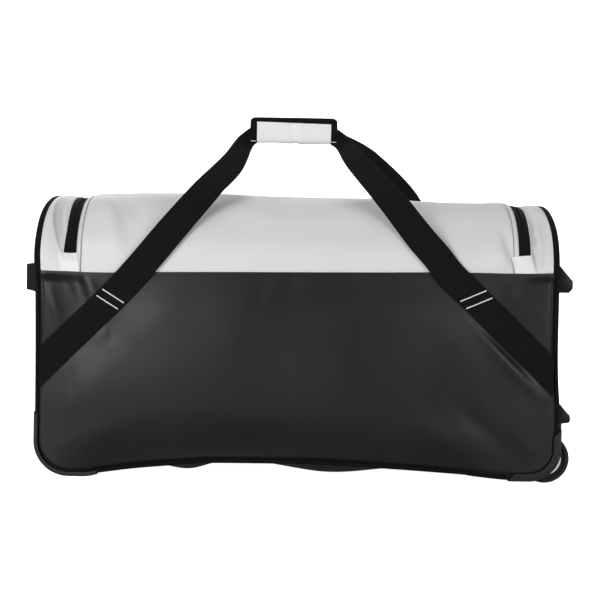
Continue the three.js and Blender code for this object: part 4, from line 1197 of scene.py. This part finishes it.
def ring_line(end, foot):
    """The line of the piping over one end, with its outward direction in the arch's plane."""
    x = end.side * END_X
    z = np.linspace(foot, float(seam(x)), 40)[:-1]
    angle = np.linspace(0, math.pi / 2, 40)
    near, out = arch(x, angle), arch_normal(x, angle)
    halves = (np.concatenate([rows_of(x, -(float(depth(x)) - PIPING_SET), z), near - out * PIPING_SET]),
              np.concatenate([rows_of(0.0, -1.0, np.zeros(len(z))), out]))
    line, outs = (np.concatenate([half, half[-2::-1] * (1, -1, 1)]) for half in halves)
    line[:, 0] = end.side * (end.reach(line[:, 2]) - PIPING_SET)
    return line, outs


def tube(name, line, out, across, radius):
    """A round cord along a line, from two directions across it or from rows of them."""
    out, across = (np.broadcast_to(ways, line.shape) for ways in (out, across))
    turn = np.linspace(0, 2 * math.pi, 14, endpoint=False)
    rings = (line[:, None] + radius * np.cos(turn)[:, None] * out[:, None]
             + radius * np.sin(turn)[:, None] * across[:, None])
    return loft(name, rings, radius * np.abs(turn - math.pi))


WEB_SECTION = (
    (-0.5, 0), (-0.493, 0.62), (-0.47, 1), (-0.25, 1), (0, 1), (0.25, 1), (0.47, 1), (0.493, 0.62),
    (0.5, 0), (0.493, -0.62), (0.47, -1), (0.25, -1), (0, -1), (-0.25, -1), (-0.47, -1), (-0.493, -0.62),
)


def webbing(name, line, flat, out, width, thickness, between=None):
    """A strap of webbing with rounded edges; between trims it at two places along the bag."""
    p, q = np.array(WEB_SECTION).T
    rings = (line[:, None] + (p[None, :] * width[:, None])[..., None] * flat[:, None]
             + (q * thickness / 2)[None, :, None] * out[:, None])
    if between:
        rings[..., 0] = np.clip(rings[..., 0], *between)
    return loft(name, rings, p[None, :] * width[:, None])


class SidePanels(Operator):
    """Builds the black lower sides, with the folds at the zip's ends and under the straps"""
    bl_idname = "duffel.side_panels"
    bl_label = "Side panels"

    def execute(self, context):
        lines = []
        for facing, place in SIDES:
            name = f"{place}_panel"
            grid = panel_grid(facing)
            piece = cloth(name, grid, sizes().cloth / MM)
            finish(piece, "lower cloth", "black_fabric", name)
            row = grid[-3]
            lines.append((row, (0.0, facing, 0.0)))
        finish(stitches("side_seam_stitches", lines), "black thread", "webbing")
        return {"FINISHED"}


class BaseAndEnds(Operator):
    """Builds the base that sags between the corners, and the two arched ends"""
    bl_idname = "duffel.base_and_ends"
    bl_label = "Base and ends"

    def execute(self, context):
        thick = sizes().cloth / MM
        look = "lower cloth"
        finish(cloth("bottom_panel", base_grid(), thick), look, "black_fabric", "bottom_panel")
        for end, place in ENDS:
            name = f"end_panel_{place}"
            finish(cloth(name, end_grid(end), thick), look, "black_fabric", name)
        return {"FINISHED"}


class Roof(Operator):
    """Builds the light lid with its welt, and the fixed roof round the zip"""
    bl_idname = "duffel.roof"
    bl_label = "Roof"

    def execute(self, context):
        thick = sizes().cloth / MM
        grids = {"lid": lid_grid(), "shoulder_left": shoulder_grid(LEFT),
                 "shoulder_right": shoulder_grid(RIGHT), "back_yoke": yoke_grid(),
                 "lid_edge": zip_band(WELT)}
        for name, grid in grids.items():
            finish(cloth(name, grid, thick), "roof cloth", "grey_fabric", name)
        rows = [roof_line(zip_line(offset), lift) for offset, lift in ROOF_STITCHES]
        finish(stitches("roof_stitches", rows, radius=0.34), "roof thread", "grey_fabric")
        # A dark cord in the groove at the lid's edge: the seam's thread, and painted shadow along the
        # groove
        offset, lift = LID_SEAM_SHADOW
        line, outs = roof_line(zip_line(offset), lift)
        sideways = unit(np.cross(np.gradient(line, axis=0), outs))
        finish(tube("lid_seam_thread", line, outs, sideways, LID_SEAM_RADIUS), "seam thread", "grey_fabric")
        return {"FINISHED"}


class Zip(Operator):
    """Builds the zip's tape and coil, and the patches over its front ends"""
    bl_idname = "duffel.zip"
    bl_label = "Zip"

    def execute(self, context):
        tape = cloth("zip_tape", zip_band(TAPE), TAPE_THICKNESS)
        finish(tape, "zip weave", "zip", "zip_tape")
        sides = [roof(*zip_line(offset, 6).T, COIL_LIFT) for offset in (-COIL_HALF, COIL_HALF)]
        outs = arch_normal(zip_line(0, 6)[:, 0], angle_at(zip_line(0, 6)[:, 1]))
        rows = np.hstack([(sides[0] + sides[1]) / 2, sides[0] - sides[1], outs])
        rows = resampled(rows, sizes().coil_pitch / MM)
        half = rows[:, 3:6] / 2
        coil = lozenges("zip_coil", rows[:, :3] - half, rows[:, :3] + half, rows[:, 6:],
                        COIL_RADIUS, 0.7)
        finish(coil, "zip coil", "zip")
        lines = []
        for name, *shape in TABS:
            grid = tab_grid(*shape)
            finish(cloth(name, grid, TAB_THICKNESS), "tab cloth", "pale_fabric", name)
            rim = np.concatenate([grid[1:-1, 1], grid[-2, 1:-1], grid[-2:0:-1, -2]])
            lines.append((rim, (0.0, -0.95, 0.3)))
        finish(stitches("tab_stitches", lines, radius=0.3), "tab cloth", "pale_fabric")
        return {"FINISHED"}


def slider_piece(name, side):
    """A slider with its bridge and hanging pull, flat on its back; side is the way its nose points."""
    body = cube(name, (-8, -4.5, -2), (8, 4.5, 2.2))
    edit(body)
    pick(body, "faces", lambda at, way: way.z > 0.9)
    bpy.ops.mesh.inset(thickness=1.2 * MM)
    extrude(0, 0, 0.7)
    leave()
    bevelled(body, lambda at, way: abs(way.z) > 0.9 and side * at.x > 7, 3, 3)
    round_edges(body, 0.5)
    bridge = cube("bridge", (-4.5, -1.6, 2), (4.5, 1.6, 5))
    panelled(bridge, lambda at, way: abs(way.y) > 0.9, 0.8)
    round_edges(bridge, 0.7)
    pull = cube("pull", (-3.4, -27, 3), (3.4, 0.5, 4.5))
    panelled(pull, lambda at, way: abs(way.z) > 0.9, 1.6, 0.35)
    round_edges(pull, 0.4)
    return joined([body, bridge, pull])


class ZipSliders(Operator):
    """Models the two sliders with their pulls on the zip's back run"""
    bl_idname = "duffel.zip_sliders"
    bl_label = "Zip sliders"

    def execute(self, context):
        girth = ZIP_TURN_START + ZIP_TURN
        for end, place in ENDS:
            name = f"zip_slider_{place}"
            piece = slider_piece(name, end.side)
            here, lower = (roof(end.side * SLIDER_X, at, SLIDER_LIFT) for at in (girth, girth + 13))
            down = Vector(lower - here).normalized()
            out = Vector((1, 0, 0)).cross(down).normalized()
            turn = Matrix(((-1, 0, 0), -down, out)).transposed().to_4x4()
            centred = Matrix.Translation((-SHIFT * MM, 0, 0))
            piece.data.transform(Matrix.Translation(spot(*here)) @ turn @ centred)
            finish(piece, "axle steel", "steel", name)
        return {"FINISHED"}


class Piping(Operator):
    """Builds the piping over both ends and along the lower edges, and the roof's binding beside it"""
    bl_idname = "duffel.piping"
    bl_label = "Piping"

    def execute(self, context):
        radius = sizes().piping / MM
        look = "piping cloth"
        for end, top, side in ((LEFT, GUARD_TOP, "left"), (RIGHT, RIM_TOP, "right")):
            line, outs = ring_line(end, top - PIPING_OVERLAP)
            name = f"piping_{side}"
            finish(tube(name, line, outs, (1.0, 0.0, 0.0), radius), look, "webbing", name)
            finish(cloth(f"roof_binding_{side}", binding_grid(end), BINDING_THICKNESS), look, "webbing")
        x = np.linspace(GUARD_TAIL - 4, RIM_TAIL + 4, 90)
        for facing, place in SIDES:
            line = rows_of(x, facing * (depth(x) - PIPING_SET), base(x) + PIPING_SET)
            name = f"piping_bottom_{place}"
            finish(tube(name, line, (0.0, 1.0, 0.0), (0.0, 0.0, 1.0), radius), look, "webbing", name)
        return {"FINISHED"}


class CarryStraps(Operator):
    """Builds the two webbing straps and the light bar tacks that sew them to the sides"""
    bl_idname = "duffel.carry_straps"
    bl_label = "Carry straps"

    def execute(self, context):
        thick = sizes().webbing / MM
        tacks = []
        for (facing, place), rows in zip(SIDES, (FRONT_STRAP, BACK_STRAP)):
            name = f"carry_strap_{place}"
            line, flat, out, width = strap_line(rows)
            turn = np.array((1.0, -facing, 1.0))
            piece = webbing(name, line * turn, flat * turn, out * turn, width, thick,
                            (line[0, 0], line[-1, 0]))
            finish(piece, "strap webbing", "webbing", name)
            for (x0, z0), (x1, z1) in BAR_TACKS:
                share = np.linspace(0, 1, 30)
                x, z = mix(x0, x1, share), mix(z0, z1, share)
                near = np.hypot(x[:, None] - line[:, 0], z[:, None] - line[:, 2]).argmin(1)
                y = facing * (-line[near, 1] + thick / 2)
                tacks.append((rows_of(x, y, z), (0.0, facing, 0.0)))
        rows = stitches("bar_tacks", tacks, 0.85, 0.1, TACK_STITCH, TACK_GAP)
        finish(rows, "bar tack thread", "pale_fabric")
        return {"FINISHED"}


def grip_ring(x, grow):
    """The grip's rounded section at a place along it."""
    low, high = GRIP_X
    from_end = np.minimum(x - low, high - x)
    turn = np.linspace(0, 2 * math.pi, GRIP_POINTS, endpoint=False)
    drawn_in = 1 - np.sqrt(1 - (1 - np.clip(from_end / 9, 0, 1)) ** 2)
    crown = 0.6 * np.sin(math.pi * np.clip(from_end / (high - low) * 2, 0, 1) / 2)
    half_y = GRIP_HALF[0] * (1 - 0.2 * drawn_in) + crown + grow
    draw = np.where(np.cos(turn) < 0, 0.36, 0.05)
    half_z = GRIP_HALF[1] * (1 - draw * drawn_in) + 0.3 * crown + grow
    y = half_y * np.sign(np.sin(turn)) * np.abs(np.sin(turn)) ** GRIP_POWER
    z = half_z * np.sign(-np.cos(turn)) * np.abs(np.cos(turn)) ** GRIP_POWER
    return rows_of(x, -y, GRIP_Z + z)


def wrap_grid():
    """The light wrap round the grip, open along its top, with a crease and slight ripples."""
    around = []
    for x in np.linspace(*PATCH_X, 70):
        ring = grip_ring(x, PATCH_GROW)
        slant = x + 0.25 * (ring[:, 2] - GRIP_Z)
        crease = 0.9 * np.exp(-(((slant + 2) / 5) ** 2)) - 1.5 * np.exp(-(((slant + 13) / 4) ** 2))
        ripple = (0.5 * np.sin(x / 9.0) * np.sin(ring[:, 2] / 6.0 + x / 31)
                  + 0.4 * np.sin(x / 23 + ring[:, 1] / 5))
        ring = ring + unit(ring - (x, 0, GRIP_Z)) * (crease + ripple)[:, None]
        top = PATCH_TOP - PATCH_SLANT * (x - sum(PATCH_X) / 2)
        below = ring[ring[:, 2] < top]
        below = below[np.argsort(np.arctan2(below[:, 1], -(below[:, 2] - GRIP_Z)))]
        run = np.linspace(0, len(below) - 1, 60)
        column = rows_of(*(np.interp(run, np.arange(len(below)), part) for part in below.T))
        column[[0, -1], 2] = top
        around.append(column)
    return np.stack(around, 1)


class Grip(Operator):
    """Builds the padded grip that holds the straps, with its light wrap"""
    bl_idname = "duffel.grip"
    bl_label = "Grip"

    def execute(self, context):
        low, high = GRIP_X
        ease = (1 - np.cos(np.linspace(0, math.pi, 60))) / 2
        rings = np.stack([grip_ring(mix(low, high, t), 0) for t in ease])
        sleeve = loft("grip_sleeve", rings, np.linspace(0, 110, GRIP_POINTS))
        finish(sleeve, "piping cloth", "webbing", "grip_sleeve")
        wrap = cloth("grip_patch", wrap_grid(), PATCH_THICKNESS)
        # Painted light: the wrap is the roof's cloth made 1.2 times lighter
        finish(wrap, "grip cloth", "grey_fabric", "grip_patch")
        lines = []
        for facing, _ in SIDES:
            for run in ((low + 1, PATCH_X[0]), (PATCH_X[1], high - 1)):
                edge = (np.linspace(*run, 12), facing * GRIP_HALF[0], GRIP_Z - GRIP_HALF[1] - 0.2)
                lines.append((rows_of(*edge), (0.0, facing, 0.0)))
        edge = stitches("grip_edge_stitches", lines, 0.55, 0, TACK_STITCH, TACK_GAP)
        finish(edge, "bar tack thread", "pale_fabric")
        return {"FINISHED"}


class SideHandle(Operator):
    """Builds the webbing handle on the left end, with its sewn ends"""
    bl_idname = "duffel.side_handle"
    bl_label = "Side handle"

    def execute(self, context):
        half = [(x, y, HANDLE_Z) for y, x in HANDLE_BOW]
        points = [(x, -y, z) for x, y, z in half[:0:-1]] + half
        line, ways = spline(points, 10)
        flat = np.broadcast_to((0.0, 0.0, 1.0), line.shape)
        out = np.cross(ways, flat)
        middle = np.abs(np.linspace(-0.5, 0.5, len(line)))
        width = mix(*HANDLE_WIDTHS, smooth(middle, 0.12, 0.34))
        handle = webbing("side_handle", line, flat, out, width, HANDLE_THICKNESS)
        finish(handle, "strap webbing", "webbing", "side_handle")
        lines = []
        for facing, _ in SIDES:
            y, z = (np.interp(np.linspace(0, 7, 120), range(8), column) for column in zip(*HANDLE_SEWING))
            near = np.abs(y[:, None] - np.abs(line[:, 1])).argmin(1)
            rows = rows_of(line[near, 0] - HANDLE_THICKNESS / 2, facing * y, z)
            lines.append((rows, (-1.0, 0.0, 0.0)))
        finish(stitches("side_handle_stitches", lines), "black thread", "webbing")
        return {"FINISHED"}


# Moulded pieces

def edge_moulding(name, end, lip, wing, block, top, tail):
    """An L-shaped moulding down the end, round the lower corner and along the base.

    block is the corner's [p0, p1, q0, q1] across the outline and back from the front; lip is how
    far it reaches over the side, and wing how far back round the end and base.
    """
    side = end.side
    p0, p1, q0, q1 = block
    front = -float(depth(side * end.middle_x))
    outline = float(end.reach(top))
    low = (side * (outline + p0), front + q0)
    high = (side * (outline + p1), front + q1)
    place = ((low[0] + high[0]) / 2, (low[1] + high[1]) / 2, top)
    piece = begin(bpy.ops.mesh.primitive_plane_add, name, (p1 - p0, q1 - q0, 1), place, size=1)
    edit(piece, "EDGE")
    pick(piece, "edges", lambda at, way: abs(at.x - low[0]) < 0.01)
    extrude(side * (lip - p0), 0, 0)
    pick(piece, "edges", lambda at, way: abs(at.y - high[1]) < 0.01 and abs(at.x - place[0]) < 0.01)
    extrude(0, wing - q1, 0)
    bpy.ops.mesh.select_mode(type="FACE")
    bpy.ops.mesh.select_all(action="SELECT")
    extrude(side * (end.middle_x + end.corner - outline), 0, end.middle_z - top)
    spin((side * end.middle_x, 0, end.middle_z), -side * 90, 14)
    before = (side * end.middle_x, end.low)
    for x in np.linspace(before[0], tail, 5)[1:]:
        z = float(base(x))
        extrude(x - before[0], -(float(depth(x)) - float(depth(before[0]))), z - before[1])
        before = (x, z)
    leave()
    close_up(piece)
    return piece


def cut_ends(piece, cuts):
    """Cuts a moulding's ends off at planes, each by a place and a direction."""
    edit(piece)
    for place, normal in cuts:
        bisect(place, normal)
    leave()


def outside(end, at):
    """How far a place stands outside the body's outline at a lower corner."""
    past, drop = end.side * at.x - end.middle_x, end.middle_z - at.z
    if drop <= 0:
        return end.side * at.x - float(end.reach(at.z))
    if past <= 0:
        return float(base(at.x)) - at.z
    return math.hypot(past, drop) - end.corner


class CornerGuards(Operator):
    """Models the moulded guards round the lower left corners"""
    bl_idname = "duffel.corner_guards"
    bl_label = "Corner guards"

    def execute(self, context):
        guard = edge_moulding("guard", LEFT, GUARD_LIP, GUARD_WING, GUARD_BLOCK, GUARD_TOP, GUARD_TAIL)
        front = -float(depth(LEFT.side * LEFT.middle_x)) + GUARD_BLOCK[2]
        bevelled(guard, lambda at, way: outside(LEFT, at) > 3 and at.y < front + 0.6
                 and abs(way.y) < 0.5, 2.4, 5)
        cut_ends(guard, GUARD_CUTS)
        round_edges(guard, 0.9, 3)
        finish_both(guard, "guard plastic", "guard_plastic", "corner_guard")
        return {"FINISHED"}


def wheel_well():
    """The arched shell over the wheel, from the bag's end over and down to its foot in the base."""
    front, back = WELL_Y
    place = (WELL_X, (front + back) / 2, WHEEL.z + WELL_RADIUS + WELL_WALL / 2)
    shell = begin(bpy.ops.mesh.primitive_plane_add, "well", (WELL_WALL, back - front, 1), place,
                  size=1, rotation=FACING_X)
    edit(shell)
    bpy.ops.mesh.select_all(action="SELECT")
    extrude(WHEEL.x - WELL_X, 0, 0)
    spin((WHEEL.x, 0, WHEEL.z), 90, 14)
    extrude(0, 0, WELL_FOOT - WHEEL.z)
    leave()
    close_up(shell)
    round_edges(shell, 0.6)
    return shell


def wheel_cheek(low):
    """A wall beside the wheel, rounded over it and round the bag's lower corner."""
    outer = WELL_RADIUS + WELL_WALL
    cheek = cube("cheek", (WHEEL.x - outer, low, RIGHT.low + CHEEK_LIFT),
                 (RIGHT.middle_x + CHEEK_CORNER, low + CHEEK, WHEEL.z + outer))
    for side, radius in ((1, CHEEK_CORNER), (-1, outer - 0.5)):
        bevelled(cheek, lambda at, way: abs(way.y) > 0.9 and side * (at.x - WHEEL.x) > 0
                 and side * (at.z - WHEEL.z) < 0, radius, 14)
    round_edges(cheek, 0.4)
    return cheek


def base_runner():
    """The runner under the base, which thins out towards the bag's middle."""
    start = WHEEL.x - WELL_RADIUS
    before = (start, float(base(start)))
    place = (start, -float(depth(start)) + RUNNER_INSET, before[1] - RUNNER_DROP)
    runner = begin(bpy.ops.mesh.primitive_plane_add, "runner", (RUNNER_THICKNESS, RUNNER_WIDTH, 1), place,
                   size=1, rotation=FACING_X)
    edit(runner)
    bpy.ops.mesh.select_all(action="SELECT")
    for x in np.linspace(start, RUNNER_TAIL, 6)[1:]:
        z = float(base(x))
        extrude(x - before[0], 0, z - before[1] + RUNNER_RISE)
        bpy.ops.transform.resize(value=(1, 1, RUNNER_TAPER))
        before = (x, z)
    bpy.ops.transform.resize(value=(1, 0.9, 0.3))
    leave()
    close_up(runner)
    round_edges(runner, 0.8)
    return runner


class WheelHousings(Operator):
    """Models the wheel housings: a corner rim, the well over the wheel, its cheeks and a runner"""
    bl_idname = "duffel.wheel_housings"
    bl_label = "Wheel housings"

    def execute(self, context):
        rim = edge_moulding("rim", RIGHT, RIM_LIP, RIM_WING, RIM_BLOCK, *RIM_SPAN)
        cut_ends(rim, RIM_CUTS)
        round_edges(rim, 1.1, 3)
        cheek_places = (WELL_Y[0], WELL_Y[1] - CHEEK)
        housing = joined([rim, wheel_well(), *(wheel_cheek(low) for low in cheek_places), base_runner()])
        finish_both(housing, "guard plastic", "guard_plastic", "wheel_housing")
        return {"FINISHED"}


class StandFeet(Operator):
    """Models the wedge-shaped feet on the wheel end that the bag stands up on"""
    bl_idname = "duffel.stand_feet"
    bl_label = "Stand feet"

    def execute(self, context):
        low_y, high_y = FOOT_Y - FOOT_WIDTH / 2, FOOT_Y + FOOT_WIDTH / 2

        def block(name, low, high):
            return cube(name, (low[0], low_y, low[1]), (high[0], high_y, high[1]))

        for name, (low, high, radius, cuts) in FEET.items():
            foot = block(name, low, high)
            cut_ends(foot, [((x, FOOT_Y, z), Vector((abs(rise), 0, math.copysign(run, rise))).normalized())
                            for (x, z), (run, rise) in cuts])
            round_edges(foot, radius, 4, 20)
            panelled(foot, lambda at, way: way.x > 0.3 and way.z > 0.3 and abs(way.y) < 0.05
                     and abs(at.y - FOOT_Y) < 3, 3, 0.7)
            if name == "stand_foot_lower":
                flange = block("flange", *FLANGE)
                panelled(flange, lambda at, way: way.x > 0.9, 3, 0.6)
                round_edges(flange, 0.8)
                foot = joined([foot, flange])
            finish_both(foot, "foot plastic", "foot_plastic", name)
        return {"FINISHED"}


def from_axle(at):
    return math.hypot(at.x - WHEEL.x, at.z - WHEEL.z)


def disc(name, vertices, radius, width):
    """A cylinder on the wheel's axle."""
    return begin(bpy.ops.mesh.primitive_cylinder_add, name, (1, 1, 1), WHEEL, vertices=vertices,
                 radius=radius, depth=width, rotation=FACING_Y)


def hub_piece():
    """A hub with a raised rim and boss, and ribs between them on both faces."""
    hub = disc("hub", 48, HUB_RADIUS, HUB_WIDTH)
    edit(hub)
    for facing, _ in SIDES:
        pick(hub, "faces", lambda at, way: way.y * facing > 0.9)
        for margin, rise in HUB_RINGS:
            bpy.ops.mesh.inset(thickness=margin * MM)
            extrude(0, facing * rise, 0)
    leave()
    bevelled(hub, lambda at, way: abs(way.y) < 0.1 and from_axle(at) > HUB_RADIUS - 0.5, 2, 4)
    round_edges(hub, 0.5)
    edit(hub)
    for facing, _ in SIDES:
        pick(hub, "faces", lambda at, way: way.y * facing > 0.9
             and RIB_REACH[0] < from_axle(at) < RIB_REACH[1]
             and math.degrees(math.atan2(at.z - WHEEL.z, at.x - WHEEL.x)) % RIB_EVERY < RIB_TURN)
        extrude(0, facing * RIB_RISE, 0)
    leave()
    return hub


def tyre_piece():
    """A tyre with a rounded tread and sunk sides, open for the hub."""
    tyre = disc("tyre", 72, WHEEL_RADIUS, WHEEL_WIDTH)
    edit(tyre)
    for facing, _ in SIDES:
        pick(tyre, "faces", lambda at, way: way.y * facing > 0.9)
        bpy.ops.mesh.inset(thickness=(WHEEL_RADIUS - TREAD_RADIUS) * MM)
        extrude(0, -facing * SIDEWALL_RECESS, 0)
        bpy.ops.mesh.inset(thickness=(TREAD_RADIUS - HUB_RADIUS - 0.3) * MM)
    pick(tyre, "faces", lambda at, way: from_axle(at) < 1)
    bpy.ops.mesh.bridge_edge_loops()
    leave()
    bevelled(tyre, lambda at, way: abs(way.y) < 0.1 and from_axle(at) > WHEEL_RADIUS - 1, 4, 4)
    round_edges(tyre, 0.5)
    return tyre


class Wheels(Operator):
    """Models the ribbed hubs and rounded tyres, and gives the axles their finish"""
    bl_idname = "duffel.wheels"
    bl_label = "Wheels"

    def execute(self, context):
        hub, tyre = hub_piece(), tyre_piece()
        finish_both(hub, "hub plastic", "hub_plastic", "hub", body="wheel_{}")
        finish_both(tyre, "tyre rubber", "tyre", "tyre", body="wheel_{}")
        for _, place in SIDES:
            frame["nodes"][f"axle_{place}"].material_slots[0].material = look_of("axle steel")
        return {"FINISHED"}


def floor_piece():
    """A pale floor that sweeps up into a backdrop, seen by the camera as plain white."""
    turn = np.linspace(0, math.pi / 2, 24)
    sweep = (FLOOR_TURN + FLOOR_RADIUS * np.sin(turn), FLOOR_RADIUS - FLOOR_RADIUS * np.cos(turn))
    profile = [(FLOOR_FRONT, 0.0), *zip(*sweep), (FLOOR_TURN + FLOOR_RADIUS, BACKDROP_TOP)]
    points = [(x, y, z) for y, z in profile for x in (-FLOOR_X, FLOOR_X)]
    faces = [(2 * i, 2 * i + 1, 2 * i + 3, 2 * i + 2) for i in range(len(profile) - 1)]
    mesh = bpy.data.meshes.new("floor")
    mesh.from_pydata(points, [], faces)
    mesh.shade_smooth()
    look, tree, shader, places = new_look("pale floor", 0.85, 0.1)
    grain = placed(tree, "coating grain", Place=places["Object"], Grain=60.0)
    shaded(tree, shader, (0.74, 0.74, 0.74), (0.78, 0.78, 0.78), grain["Mottle"])
    shader.inputs["Emission Color"].default_value = (1, 1, 1, 1)
    seen = node(tree, "ShaderNodeLightPath").outputs["Is Camera Ray"]
    tree.links.new(seen, shader.inputs["Emission Strength"])
    mesh.materials.append(look)
    return bpy.data.objects.new("floor", mesh)


def light_piece(name, place, aim, size, energy):
    light = bpy.data.lights.new(name, "AREA")
    light.shape = "RECTANGLE"
    (light.size, light.size_y), light.energy = size, energy
    lamp = bpy.data.objects.new(name, light)
    lamp.location = place
    lamp.rotation_euler = (Vector(aim) - lamp.location).to_track_quat("-Z", "Y").to_euler()
    lamp.visible_camera = False
    return lamp


def studio_world():
    """A dim, even sky that the camera sees as white."""
    world = bpy.data.worlds.new("studio")
    world.use_nodes = True
    tree = world.node_tree
    sky = tree.nodes["Background"].inputs
    sky["Color"].default_value = (1, 1, 1, 1)
    seen = node(tree, "ShaderNodeLightPath").outputs["Is Camera Ray"]
    tree.links.new(math_node(tree, "MULTIPLY_ADD", seen, 1 - SKY_LIGHT, SKY_LIGHT), sky["Strength"])
    return world


def camera_piece():
    lens = bpy.data.cameras.new("camera")
    lens.lens, lens.sensor_width = CAMERA_LENS, CAMERA_SENSOR
    camera = bpy.data.objects.new("camera", lens)
    camera.matrix_world = (Matrix.Translation(CAMERA_PLACE)
                           @ Matrix.Rotation(math.radians(CAMERA_TILT), 4, "X")
                           @ Matrix.Rotation(math.radians(CAMERA_ROLL), 4, "Z"))
    return camera


class Stage(Operator):
    """Sets the pale floor and backdrop, the soft lights and the camera"""
    bl_idname = "duffel.stage"
    bl_label = "Stage"

    def execute(self, context):
        scene = context.scene
        floor, camera = floor_piece(), camera_piece()
        for thing in (floor, camera, *(light_piece(name, *row) for name, row in LIGHTS.items())):
            scene.collection.objects.link(thing)
        scene.camera = camera
        scene.world = studio_world()
        scene.view_settings.view_transform = "Standard"
        return {"FINISHED"}


STEPS = (Stage, SidePanels, BaseAndEnds, Roof, Zip, ZipSliders, Piping, CarryStraps, Grip, SideHandle,
         CornerGuards, WheelHousings, StandFeet, Wheels)


class DuffelPanel(Panel):
    """Lists the steps that build the bag, with its colours and sizes"""
    bl_idname = "VIEW3D_PT_duffel"
    bl_label = "Wheeled duffel bag"
    bl_space_type = "VIEW_3D"
    bl_region_type = "UI"
    bl_category = "Duffel"

    def draw(self, context):
        for group in (context.scene.duffel_colours, context.scene.duffel_sizes):
            box = self.layout.box()
            for name in group.__annotations__:
                box.prop(group, name)
        for step in STEPS:
            self.layout.operator(step.bl_idname)


CLASSES = (DuffelColours, DuffelSizes, *STEPS, DuffelPanel)


def register():
    for made in CLASSES:
        bpy.utils.register_class(made)
    bpy.types.Scene.duffel_colours = PointerProperty(type=DuffelColours)
    bpy.types.Scene.duffel_sizes = PointerProperty(type=DuffelSizes)


def unregister():
    del bpy.types.Scene.duffel_sizes
    del bpy.types.Scene.duffel_colours
    for made in reversed(CLASSES):
        bpy.utils.unregister_class(made)


def main():
    register()
    for step in STEPS:
        group, name = step.bl_idname.split(".")
        getattr(getattr(bpy.ops, group), name)()


if __name__ == "__main__":
    main()
